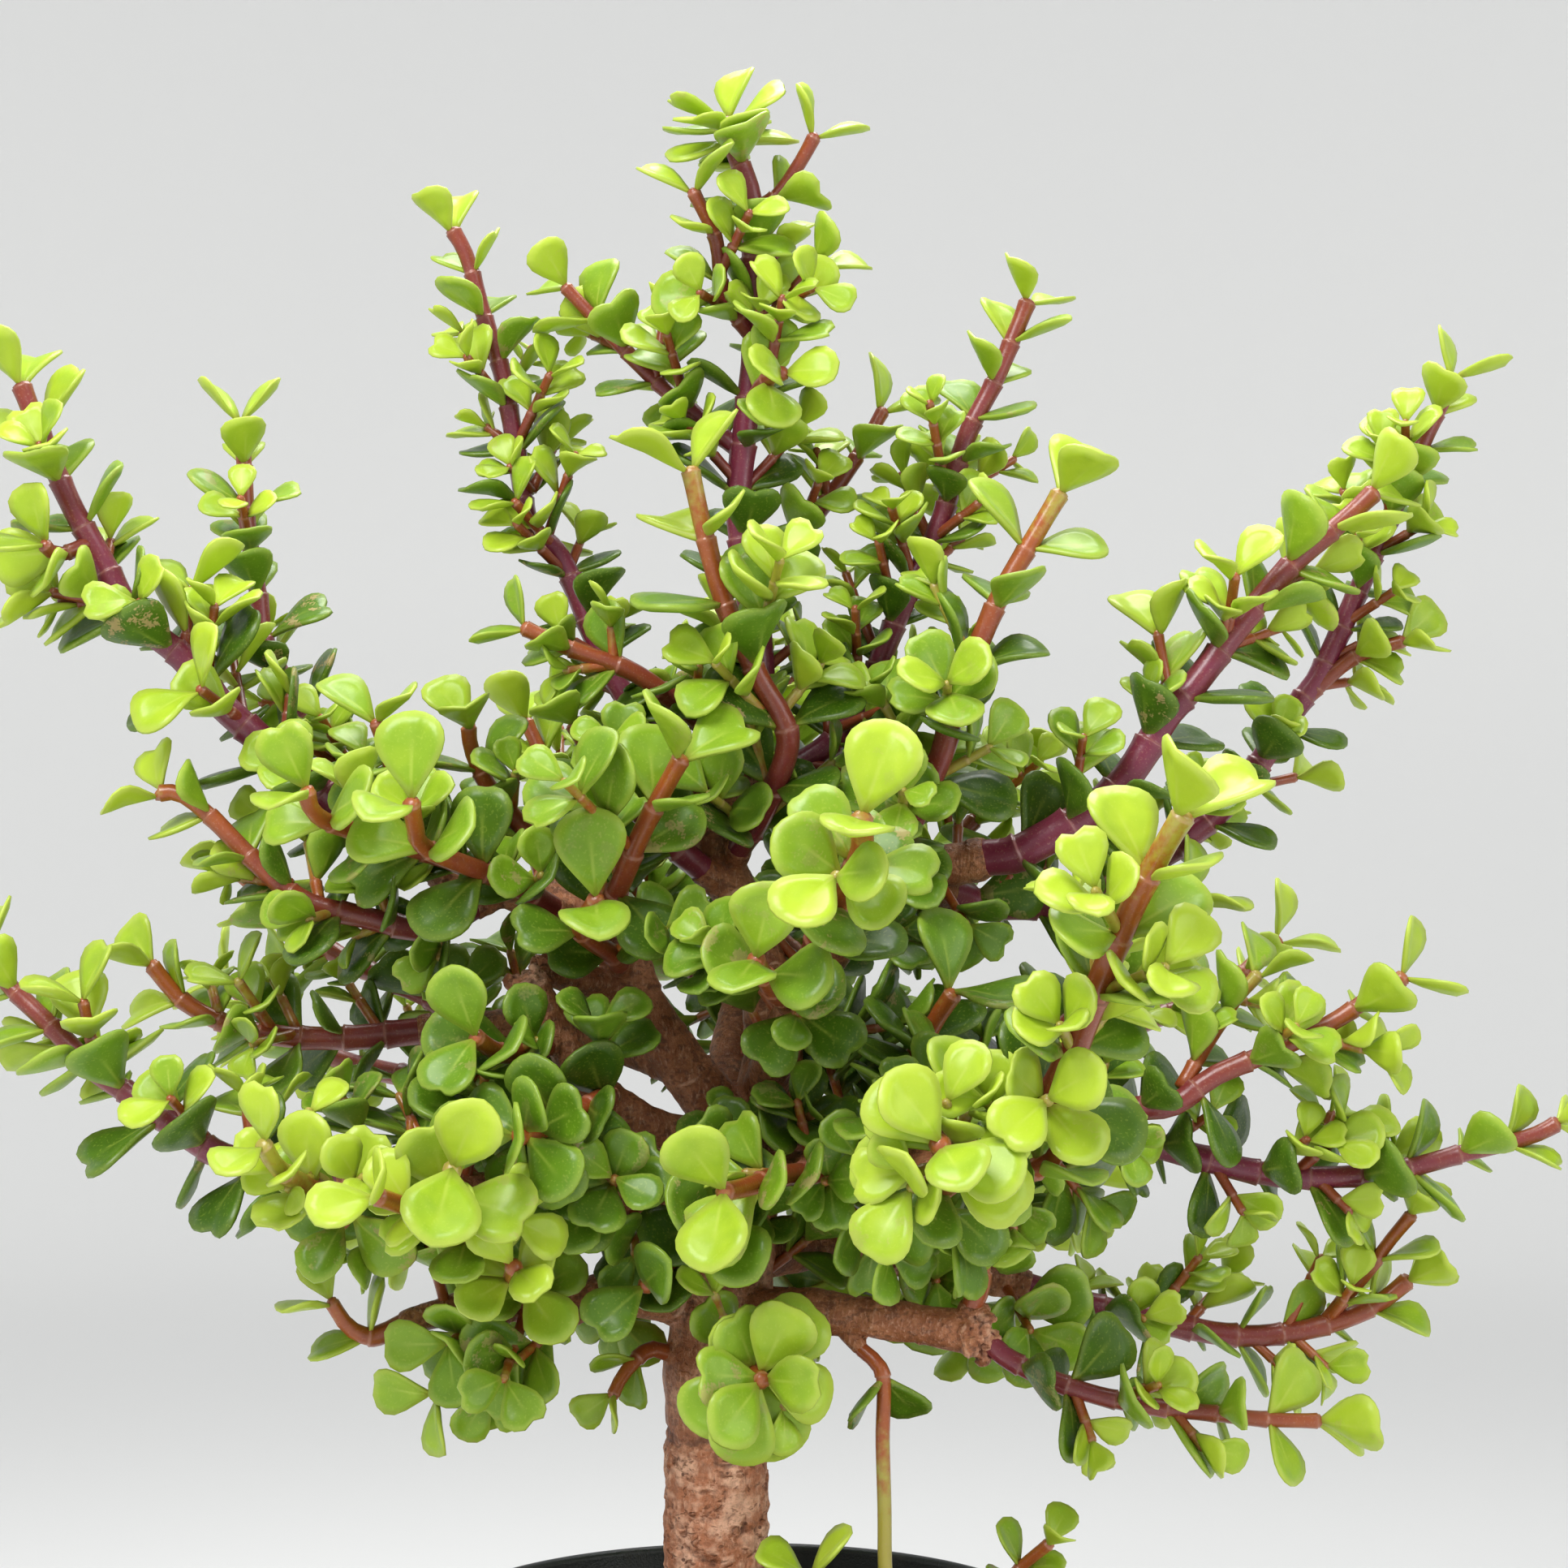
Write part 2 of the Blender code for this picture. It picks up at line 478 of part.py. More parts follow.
def blade_point(around, across, under, leaf):
    """A place on the unit disc, and how far under it, shaped to a leaf: x runs from its root to its tip."""
    run = 0.5 - 0.5 * around
    x = leaf["length"] * run ** LEAF_EVENNESS
    foot, swell, narrowing = LEAF_SPREAD
    y = across * (foot + swell * run + narrowing * run ** 2) * leaf["width"] * 0.5
    lift = leaf["fold"] * abs(y) + leaf["bend"] * leaf["length"] * (x / leaf["length"]) ** 2
    return Vector((x, y, lift - under * leaf["thick"]))


def blade_skin(leaf):
    """A leaf's corners in place: its rim, and the middles of its upper face and its keel."""
    turns = [2 * math.pi * corner / LEAF_CORNERS for corner in range(LEAF_CORNERS)]
    points = [blade_point(math.cos(turn), math.sin(turn), 0.0, leaf) for turn in turns]
    points += [blade_point(0.0, 0.0, -LEAF_CROWN, leaf), blade_point(0.0, 0.0, 1.0, leaf)]
    return [leaf["place"] @ point for point in points]


def blade_faces():
    """The triangles between the rim and its two middles."""
    faces = []
    for corner in range(LEAF_CORNERS):
        after = (corner + 1) % LEAF_CORNERS
        faces += [(corner, after, LEAF_CORNERS), (after, corner, LEAF_CORNERS + 1)]
    return faces


def tube_skin(stem):
    """A stem's rings as a mesh that holds its whole round section."""
    sides = LEAST_FLATS + 2 * STEM_ROUNDNESS
    points = []
    faces = []
    runs = [(stop - start).normalized() for start, stop in zip(stem.path, stem.path[1:])]
    ways = [runs[0]] + [before + after for before, after in zip(runs, runs[1:])] + [runs[-1]]
    side = runs[0].orthogonal().normalized()
    for ring, (place, way, radius) in enumerate(zip(stem.path, ways, stem.corner_radii())):
        way = way.normalized()
        side = (side - way * side.dot(way)).normalized()
        for corner in range(sides):
            arm = Quaternion(way, 2 * math.pi * corner / sides) @ side
            points.append(place + arm * radius / math.cos(math.pi / sides))
        if ring:
            for corner in range(sides):
                after = (corner + 1) % sides
                low = (ring - 1) * sides
                faces.append((low + corner, low + after, low + sides + after, low + sides + corner))
    return points, faces


class Crowd:
    """Everything placed so far, for a leaf to keep clear of."""

    def __init__(self):
        self.items = []

    def add(self, points, faces, owner):
        low = [min(point[axis] for point in points) for axis in range(3)]
        high = [max(point[axis] for point in points) for axis in range(3)]
        self.items.append((low, high, BVHTree.FromPolygons(points, faces), owner))

    def blocked(self, points, faces, owner):
        """Whether a shape crosses anything that isn't its own stem."""
        low = [min(point[axis] for point in points) for axis in range(3)]
        high = [max(point[axis] for point in points) for axis in range(3)]
        tree = None
        for other_low, other_high, other, other_owner in self.items:
            if other_owner is owner:
                continue
            if any(low[axis] > other_high[axis] or high[axis] < other_low[axis] for axis in range(3)):
                continue
            tree = tree or BVHTree.FromPolygons(points, faces)
            if tree.overlap(other):
                return True
        return False


def leaf_on(stem, distance, turn, rise, size, fold, bend):
    """A leaf at a distance along a stem, turned about it, raised towards its tip and facing the light."""
    place, way, side = stem.frame(distance)
    out = Quaternion(way, math.radians(turn)) @ side
    rise = math.radians(rise)
    along = out * math.cos(rise) + way * math.sin(rise)
    face = way * math.cos(rise) - out * math.sin(rise) + LIGHT * TURN_TO_LIGHT
    face = (face - along * face.dot(along)).normalized()
    across = face.cross(along)
    root = place + out * stem.radius(distance) * ROOT_SUNK
    matrix = Matrix.Translation(root) @ Matrix((along, across, face)).transposed().to_4x4()
    return dict(length=size, width=size * LEAF_WIDTH, thick=max(THINNEST_LEAF, size * LEAF_THICKNESS),
                fold=fold, bend=bend, place=matrix)


def meets_pot(points):
    """Whether any of the points lies in the soil or in the pot's wall."""
    for point in points:
        if point.z < SOIL_LUMP + GAP - SOIL_BELOW_RIM:
            return True
        if point.z < CLEAR_OF_RIM and math.hypot(point.x, point.y) > POT_NECK_RADIUS - 2 * POT_WALL:
            return True
    return False


def try_leaf(crowd, stem, distance, turn, rise, size, fold, bend):
    """The first of a few nearby ways to set a leaf that crosses nothing, or None."""
    for more_rise in RISES_TO_TRY:
        for more_turn in TURNS_TO_TRY:
            leaf = leaf_on(stem, distance, turn + more_turn, rise + more_rise, size, fold, bend)
            tested = dict(leaf)
            tested["length"] *= TESTED_SWELL
            tested["width"] *= TESTED_SWELL
            tested["thick"] += 2 * TESTED_MARGIN
            skin = blade_skin(tested)
            if not meets_pot(skin) and not crowd.blocked(skin, blade_faces(), stem):
                crowd.add(blade_skin(leaf), blade_faces(), None)
                return leaf
    return None


def leaves_of(stem, size, bare, crowd, draw):
    """The pairs of leaves of a stem, each pair square to the next, the last one cupped upright."""
    leaves = []
    turn = draw.uniform(0, 360)
    room = stem.length - bare - TIP_LEAF_BACK
    pairs = max(1, round(room / PAIR_STEP))
    for pair in range(pairs + 1):
        distance = stem.length - TIP_LEAF_BACK - pair * room / pairs
        age = min(1.0, pair / PAIRS_TO_AGE)
        for half in (0, 180):
            length = size * (1.0 + OLD_LEAF_GROWTH * age) * draw.uniform(*LEAF_SIZES)
            rise = YOUNG_RISE + (OLD_RISE - YOUNG_RISE) * age + draw.uniform(-RISE_SPREAD, RISE_SPREAD)
            fold = YOUNG_FOLD + (OLD_FOLD - YOUNG_FOLD) * age
            bend = YOUNG_BEND + (OLD_BEND - YOUNG_BEND) * age + draw.uniform(-BEND_SPREAD, BEND_SPREAD)
            place = turn + half + draw.uniform(-TURN_SPREAD, TURN_SPREAD)
            leaf = try_leaf(crowd, stem, distance, place, rise, length, fold, bend)
            if leaf:
                leaves.append(leaf)
        turn += 90 + draw.uniform(-PAIR_TURN_SPREAD, PAIR_TURN_SPREAD)
    return leaves


def grow():
    """Every limb, and every shoot with its stems and its leaves."""
    limbs = {name: limb_stem(name) for name in LIMBS}
    crowd = Crowd()
    for limb in limbs.values():
        crowd.add(*tube_skin(limb), limb)
    shoots = {}
    for name in SHOOTS:
        stem = main_stem(name, limbs)
        shoots[name] = [stem] + side_stems(name, stem)
        for each in shoots[name]:
            crowd.add(*tube_skin(each), each)
    leaves = {}
    for name, stems in shoots.items():
        draw = random.Random(name)
        size = SHOOTS[name]["leaf"]
        leaves[name] = []
        for number, stem in enumerate(stems):
            bare = BARE_SIDE_FOOT if number else BARE_FOOT
            grown = size * SIDE_LEAF_SHARE if number else size
            leaves[name] += leaves_of(stem, grown, bare, crowd, draw)
    return limbs, shoots, leaves


def material(name, kind):
    """A plain finish in the piece's own colour."""
    made = bpy.data.materials.new(name)
    made.use_nodes = True
    shader = made.node_tree.nodes["Principled BSDF"]
    shader.inputs["Base Color"].default_value = (*COLOURS[kind], 1.0)
    shader.inputs["Roughness"].default_value = ROUGHNESS[kind]
    shader.inputs["Metallic"].default_value = 0.0
    return made


def collection(name):
    """A new collection in the scene."""
    made = bpy.data.collections.new(name)
    bpy.context.scene.collection.children.link(made)
    return made


def object_from(mesh, name, where):
    """A new object for a mesh, in a collection."""
    made = bpy.data.objects.new(name, mesh)
    where.objects.link(made)
    return made


def tube(name, points, radii, roundness, where):
    """A closed round tube along the given places, in millimetres, as a mesh object."""
    curve = bpy.data.curves.new(name, "CURVE")
    curve.dimensions = "3D"
    curve.bevel_depth = MM
    curve.bevel_resolution = roundness
    curve.use_fill_caps = True
    spline = curve.splines.new("POLY")
    spline.points.add(len(points) - 1)
    for point, place, radius in zip(spline.points, points, radii):
        point.co = (*(place * MM), 1.0)
        point.radius = radius
    drawn = object_from(curve, name + "_path", where)
    bpy.context.view_layer.update()
    mesh = bpy.data.meshes.new_from_object(drawn.evaluated_get(bpy.context.evaluated_depsgraph_get()))
    bpy.data.objects.remove(drawn)
    bpy.data.curves.remove(curve)
    weld(mesh)
    return object_from(mesh, name, where)


def weld(mesh):
    """Joins a tube's loose caps to it."""
    shape = bmesh.new()
    shape.from_mesh(mesh)
    bmesh.ops.remove_doubles(shape, verts=shape.verts, dist=CAP_APART * MM)
    bmesh.ops.recalc_face_normals(shape, faces=shape.faces)
    shape.to_mesh(mesh)
    shape.free()


def leaf_object(name, leaf, where):
    """A leaf: a shallow cone under a flat face, drawn out to the leaf's outline."""
    shape = bmesh.new()
    bmesh.ops.create_cone(shape, cap_ends=True, segments=LEAF_CORNERS, radius1=1.0, radius2=0.0, depth=1.0)
    for corner in shape.verts:
        across, around, up = corner.co
        corner.co = leaf["place"] @ blade_point(around, across, up + 0.5, leaf) * MM
    bmesh.ops.recalc_face_normals(shape, faces=shape.faces)
    mesh = bpy.data.meshes.new(name)
    shape.to_mesh(mesh)
    shape.free()
    return object_from(mesh, name, where)


def join(base, others, operation="UNION", solver="EXACT"):
    """Joins a collection's solids to a base, or cuts them from it, and clears the collection."""
    step = base.modifiers.new("join", "BOOLEAN")
    step.operation = operation
    step.operand_type = "COLLECTION"
    step.collection = others
    step.solver = solver
    bpy.context.view_layer.update()
    mesh = bpy.data.meshes.new_from_object(base.evaluated_get(bpy.context.evaluated_depsgraph_get()))
    base.modifiers.remove(step)
    base.data = mesh
    for spare in list(others.objects):
        bpy.data.objects.remove(spare)
    bpy.data.collections.remove(others)
    tidy_mesh(mesh)


def tidy_mesh(mesh):
    """Merges what lies together, drops loose scraps and keeps the largest body."""
    shape = bmesh.new()
    shape.from_mesh(mesh)
    bmesh.ops.remove_doubles(shape, verts=shape.verts, dist=MERGED_APART * MM)
    bmesh.ops.dissolve_degenerate(shape, edges=shape.edges, dist=MERGED_APART * MM)
    islands = []
    left = set(shape.faces)
    while left:
        island = {left.pop()}
        waiting = list(island)
        while waiting:
            face = waiting.pop()
            for edge in face.edges:
                for other in edge.link_faces:
                    if other in left:
                        left.remove(other)
                        island.add(other)
                        waiting.append(other)
        islands.append(island)
    islands.sort(key=len)
    scraps = [face for island in islands[:-1] for face in island]
    bmesh.ops.delete(shape, geom=scraps, context="FACES")
    bmesh.ops.dissolve_limit(shape, angle_limit=math.radians(FLAT_ANGLE), verts=shape.verts,
                             edges=shape.edges, use_dissolve_boundaries=False)
    bmesh.ops.triangulate(shape, faces=shape.faces)
    shape.to_mesh(mesh)
    shape.free()


def turned(name, profile, sides, where):
    """A turned solid from a profile of radius and height, in millimetres."""
    mesh = bpy.data.meshes.new(name)
    points = [(radius * MM, 0.0, height * MM) for radius, height in profile]
    mesh.from_pydata(points, [(spot, spot + 1) for spot in range(len(points) - 1)], [])
    made = object_from(mesh, name, where)
    screw = made.modifiers.new("turn", "SCREW")
    screw.steps = sides
    screw.render_steps = sides
    screw.use_merge_vertices = True
    screw.merge_threshold = CAP_APART * MM
    return made


def bake(made):
    """Gives an object the mesh that its modifiers make."""
    bpy.context.view_layer.update()
    mesh = bpy.data.meshes.new_from_object(made.evaluated_get(bpy.context.evaluated_depsgraph_get()))
    made.modifiers.clear()
    made.data = mesh


def upright_cutter(name, x, y, bottom, top, radius, where):
    """A round cutter that stands upright, whose flats lie at the given radius."""
    shape = bmesh.new()
    corner = radius * MM / math.cos(math.pi / CUTTER_SIDES)
    bmesh.ops.create_cone(shape, cap_ends=True, segments=CUTTER_SIDES, radius1=corner, radius2=corner,
                          depth=(top - bottom) * MM)
    bmesh.ops.translate(shape, verts=shape.verts, vec=Vector((x, y, (top + bottom) / 2)) * MM)
    mesh = bpy.data.meshes.new(name)
    shape.to_mesh(mesh)
    shape.free()
    made = object_from(mesh, name, where)
    made.hide_render = True
    made.display_type = "WIRE"
    return made


def make_pot(parts):
    """The thin round pot with its outward rim band and its drain holes."""
    inner_base = POT_BASE_RADIUS - POT_WALL
    band_foot = POT_HEIGHT - RIM_BAND
    pot = turned("pot", [
        (0, POT_FLOOR),
        (inner_base - POT_EDGE, POT_FLOOR),
        (inner_base + POT_EDGE, POT_FLOOR + 2 * POT_EDGE),
        (POT_NECK_RADIUS - POT_WALL, band_foot),
        (POT_RIM_RADIUS - POT_EDGE - RIM_LIP, POT_HEIGHT),
        (POT_RIM_RADIUS - POT_EDGE, POT_HEIGHT),
        (POT_RIM_RADIUS, POT_HEIGHT - POT_EDGE),
        (POT_RIM_RADIUS - POT_EDGE, band_foot),
        (POT_NECK_RADIUS, band_foot - POT_EDGE),
        (POT_BASE_RADIUS, 2 * POT_EDGE),
        (POT_BASE_RADIUS - 2 * POT_EDGE, 0),
        (0, 0),
    ], POT_SIDES, parts)
    bake(pot)
    cutters = collection("pot_cutters")
    for hole in range(DRAIN_HOLES):
        turn = 2 * math.pi * (hole + 0.5) / DRAIN_HOLES
        upright_cutter(f"drain_{hole}", DRAIN_CIRCLE * math.cos(turn), DRAIN_CIRCLE * math.sin(turn),
                       -POT_FLOOR, 2 * POT_FLOOR, DRAIN_RADIUS, cutters)
    join(pot, cutters, "DIFFERENCE")
    pot.data.materials.append(material("pot", "pot"))


def make_soil(parts, rooted):
    """The soil that fills the pot, lumpy on top, with a plain hole for each stem in it."""
    top = POT_HEIGHT - SOIL_BELOW_RIM
    inner_base = POT_BASE_RADIUS - POT_WALL
    slope = (POT_NECK_RADIUS - POT_BASE_RADIUS) / (POT_HEIGHT - RIM_BAND)
    top_radius = inner_base - SOIL_CLEAR + slope * top
    draw = random.Random("soil")
    profile = [(top_radius * ring / (SOIL_RINGS - 1), top) for ring in range(SOIL_RINGS)]
    profile += [(inner_base - SOIL_CLEAR, POT_FLOOR + GAP + SOIL_CHAMFER)]
    profile += [(inner_base - SOIL_CLEAR - SOIL_CHAMFER, POT_FLOOR + GAP), (0, POT_FLOOR + GAP)]
    soil = turned("soil", profile, SOIL_SIDES, parts)
    bake(soil)
    for corner in soil.data.vertices:
        reach = math.hypot(corner.co.x, corner.co.y) / MM
        if corner.co.z > (top - SOIL_LEVEL_EDGE) * MM and reach < top_radius - SOIL_LEVEL_EDGE:
            corner.co.z += draw.uniform(-SOIL_LUMP, SOIL_LUMP) * MM
    cutters = collection("soil_cutters")
    for number, stem in enumerate(rooted):
        foot = stem.path[0]
        upright_cutter(f"root_hole_{number}", foot.x, foot.y, POT_HEIGHT + foot.z - GAP,
                       POT_HEIGHT + HOLE_ABOVE, stem.radius(0) + GAP, cutters)
    join(soil, cutters, "DIFFERENCE")
    soil.data.materials.append(material("soil", "soil"))


def make_trunk(parts, limbs):
    """The woody trunk: its limbs, and the short stub that each shoot stands on, in one solid."""
    joined = collection("trunk_pieces")
    trunk = None
    for name, limb in limbs.items():
        where = joined if trunk else parts
        roundness = STEM_ROUNDNESS if trunk else STUMP_ROUNDNESS
        points = [place + Vector((0, 0, POT_HEIGHT)) for place in limb.path]
        made = tube(name if trunk else "trunk", points, limb.corner_radii(), roundness, where)
        trunk = trunk or made
    for name in SHOOTS:
        start, way, out = shoot_base(name, limbs)
        if SHOOTS[name]["limb"] != "soil":
            lifted = start + Vector((0, 0, POT_HEIGHT))
            thick = SHOOTS[name]["radii"][0]
            tube(name + "_stub", [lifted, lifted + way * out], [thick, thick], STEM_ROUNDNESS, joined)
    join(trunk, joined)
    trunk.data.materials.append(material("trunk", "trunk"))


def make_shoot(parts, name, stems, leaves):
    """A leafy shoot: its stems and its leaves, in one solid."""
    joined = collection(name + "_pieces")
    shoot = None
    for number, stem in enumerate(stems):
        where = joined if shoot else parts
        points = [place + Vector((0, 0, POT_HEIGHT)) for place in stem.path]
        made = tube(f"{name}_side_{number}" if shoot else name, points, stem.corner_radii(),
                    STEM_ROUNDNESS, where)
        shoot = shoot or made
    for number, leaf in enumerate(leaves):
        lifted = dict(leaf)
        lifted["place"] = Matrix.Translation((0, 0, POT_HEIGHT)) @ leaf["place"]
        leaf_object(f"{name}_leaf_{number}", lifted, joined)
    join(shoot, joined)
    shoot.data.materials.append(material(name, "shoot"))


def main():
    for old in list(bpy.data.objects):
        bpy.data.objects.remove(old)
    parts = collection("dwarf_jade_bonsai")
    limbs, shoots, leaves = grow()
    make_pot(parts)
    make_trunk(parts, limbs)
    for name, stems in shoots.items():
        make_shoot(parts, name, stems, leaves[name])
    soil_shoots = [stems[0] for name, stems in shoots.items() if SHOOTS[name]["limb"] == "soil"]
    rooted = [limbs["stump"]] + soil_shoots
    make_soil(parts, rooted)


main()
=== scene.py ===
"""Looks of a dwarf jade bonsai in its nursery pot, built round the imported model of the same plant."""

import math
import random
from collections import namedtuple

import bpy
import numpy as np
from mathutils import Matrix, Quaternion, Vector
from mathutils import noise
from mathutils.bvhtree import BVHTree
from mathutils.kdtree import KDTree


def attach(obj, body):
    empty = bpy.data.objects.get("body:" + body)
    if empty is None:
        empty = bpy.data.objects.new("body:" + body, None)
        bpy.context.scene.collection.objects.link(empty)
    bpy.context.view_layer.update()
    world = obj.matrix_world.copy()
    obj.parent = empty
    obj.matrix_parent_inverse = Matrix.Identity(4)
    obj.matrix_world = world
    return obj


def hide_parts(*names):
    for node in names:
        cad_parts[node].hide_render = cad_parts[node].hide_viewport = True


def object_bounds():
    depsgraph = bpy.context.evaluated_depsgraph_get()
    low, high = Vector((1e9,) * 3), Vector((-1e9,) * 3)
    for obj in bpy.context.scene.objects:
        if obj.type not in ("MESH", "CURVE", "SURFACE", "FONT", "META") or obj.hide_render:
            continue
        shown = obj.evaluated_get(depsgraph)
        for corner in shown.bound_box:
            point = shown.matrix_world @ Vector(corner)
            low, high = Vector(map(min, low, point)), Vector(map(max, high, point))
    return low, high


bl_info = {
    "name": "Dwarf Jade Bonsai",
    "version": (1, 0, 0),
    "blender": (4, 5, 0),
    "location": "View3D > Sidebar > Bonsai",
    "description": "Models the looks of a dwarf jade bonsai in its nursery pot",
    "category": "Add Mesh",
}

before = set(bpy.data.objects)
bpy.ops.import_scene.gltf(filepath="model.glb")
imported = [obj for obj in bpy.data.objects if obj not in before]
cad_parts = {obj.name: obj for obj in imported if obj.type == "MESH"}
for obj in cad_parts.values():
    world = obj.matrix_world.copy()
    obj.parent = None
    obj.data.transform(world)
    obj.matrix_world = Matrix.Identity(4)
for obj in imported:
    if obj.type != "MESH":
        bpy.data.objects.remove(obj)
CAD_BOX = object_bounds()
BODY = "root"

MM = 0.001

# The pot and the soil, in millimetres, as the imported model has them
POT_HEIGHT = 120.0
POT_RIM_RADIUS = 75.0
POT_NECK_RADIUS = 71.5
POT_BASE_RADIUS = 54.0
POT_WALL = 1.6
POT_FLOOR = 2.2
RIM_BAND = 11.0
DRAIN_HOLES = 6
DRAIN_RADIUS = 3.5
DRAIN_CIRCLE = 40.0
SOIL_BELOW_RIM = 15.0
SOIL_LUMP = 1.6
GAP = 0.3

# The viewpoint that the limbs' and shoots' places are given from, in millimetres over the rim
EYE_DISTANCE = 690.0
EYE_X = 10.0
EYE_HEIGHT = 160.0

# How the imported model's leaves grow, so that each fine leaf keeps its place
PAIR_STEP = 40.0
LEAF_WIDTH = 0.88
LEAF_THICKNESS = 0.13
THINNEST_LEAF = 1.3
LEAF_CROWN = 0.3
LEAF_EVENNESS = 0.8
LEAF_SPREAD = (0.3, 1.5, -0.72)
PAIRS_TO_AGE = 3
# How leaves stand: how much longer the old ones are, how their sizes vary, then their rise, fold and
# bend, each as a young leaf has it and how much it changes with age, and how far rise and bend stray
PACKED_HABIT = dict(growth=0.16, sizes=(0.92, 1.1), rise=(50.0, -18.0), rise_spread=14.0,
                    fold=(0.32, -0.18), bend=(-0.16, 0.08), bend_spread=0.04)
TURN_SPREAD = 9.0
PAIR_TURN_SPREAD = 10.0
LEAF_CORNERS = 7
STEM_SIDES = 6
ROOT_SUNK = 0.45
TIP_LEAF_BACK = 1.0
BARE_FOOT = 8.0
BARE_SIDE_FOOT = 7.0
SIDE_LEAF_SHARE = 0.9
SIDE_STEM_SHARE = 0.72
SIDE_TIP_RADIUS = 1.7
TWIG_RADII = (1.6, 1.3)
TWIG_LEAN = 0.8
TWIG_LIFT = 0.3
MOST_LEAN = 0.9
STEM_STEP = 28.0
LIMB_STEP = 22.0
CURVE_STEP = 2.0
COLLAR_OUT = 1.0
CLEAR_OF_RIM = 1.5
LIGHT = Vector((0.1, -0.6, 0.8))
TURN_TO_LIGHT = 0.6
TESTED_SWELL = 1.06
TESTED_MARGIN = 0.35
TURNS_TO_TRY = (0, 18, -18, 36, -36)
RISES_TO_TRY = (0, 18, -18)

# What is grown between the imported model's leaves
ADDED_HABIT = dict(growth=0.14, sizes=(0.82, 1.12), rise=(46.0, -22.0), rise_spread=16.0,
                   fold=(0.3, -0.2), bend=(-0.16, 0.08), bend_spread=0.05)
ADDED_TO_AGE = 45.0
ADDED_LIGHT = (0.4, 1.2)
ADDED_TURN_SPREAD = 12.0
ADDED_SWELL = 0.92
PAIR_SPACING = 0.78
LEAST_SPACING = 10.5
CLOSE_PAIRS = 17.0
FILLER_LIGHT = Vector((0.1, -1.0, 0.7))
SPRIG_CHANCE = 0.45
SPRIG_FROM_TIP = 22.0
SPRIG_RADII = (1.5, 1.1)
SPRIG_REACH = (6.0, 20.0)
SPRIG_ABOVE_LEAF = 0.8
SPRIG_TURN_SPREAD = 14.0
SPRIG_LEAN = 0.7
SPRIG_LIFT = 0.35
SPRIG_SIZES = (0.78, 0.95)
SPRIG_BARE_FOOT = 3.0
SPRIG_PAIR_STEP = 8.0
SPRIG_TIP_BACK = 0.6
SPRIG_TIP_SHARE = 0.8
SPRIG_GAIN = 0.12
SPRIG_GAINS = 2
LIMB_SPRIG_STEP = 5.5
LIMB_SPRIG_STEPS = (0.5, 1.3)
LIMB_SPRIG_REACH = (9.0, 26.0)
LIMB_SPRIG_LEAN = (-0.3, 0.8)
LIMB_SPRIG_LEAVES = (14.0, 19.0)
LIMB_SPRIG_BARE_FOOT = 4.0
LIMB_SPRIGS_END = 2.0
CROWD_ROOM = 9000
SPARSE_SHOOTS = ("hanging_shoot", "low_left_sprig", "lower_right_riser")
OPEN_SHOOTS = ("leader", "front_spire", "right_spire", "right_inner", "left_sweep", "right_horizontal",
               "lower_right_red", "front_low_rosette", "big_rosette")
OPEN_SHARE = 0.34
BUSHY_SHOOTS = ("back_centre", "back_high_left", "back_high_right", "dark_stub_shoot", "centre_left",
                "right_spire", "right_inner", "front_spire")
BUSHY_CHANCE = 0.85
BUSHY_REACH = 7.0
# Shoots whose tips open wide towards the front, with the length of those leaves
ROSETTES = {"low_front_rosette": 20.0, "big_rosette": 20.0, "left_heart": 17.0, "leader": 17.0}
# Their whorls: how far back from the tip, how far turned, and how much the leaves rise
WHORLS = ((3.0, 45.0, 16.0), (7.0, 0.0, 4.0))
WHORL_LEAVES = 4
WHORL_TURN_SPREAD = 10.0
WHORL_SIZES = (0.85, 1.05)
WHORL_RISE_SPREAD = 8.0
WHORL_FOLD = 0.12
WHORL_BEND = -0.08
WHORL_SWELL = 0.9
BARE_LIMBS = ("lower_right", "left", "sawn_high", "sawn_low")
# How far along a limb its sprigs start: on the tall ones and on the others
TALL_LIMBS = ("stump", "upright")
TALL_SPRIGS_FROM = 0.7
SPRIGS_FROM = 0.3

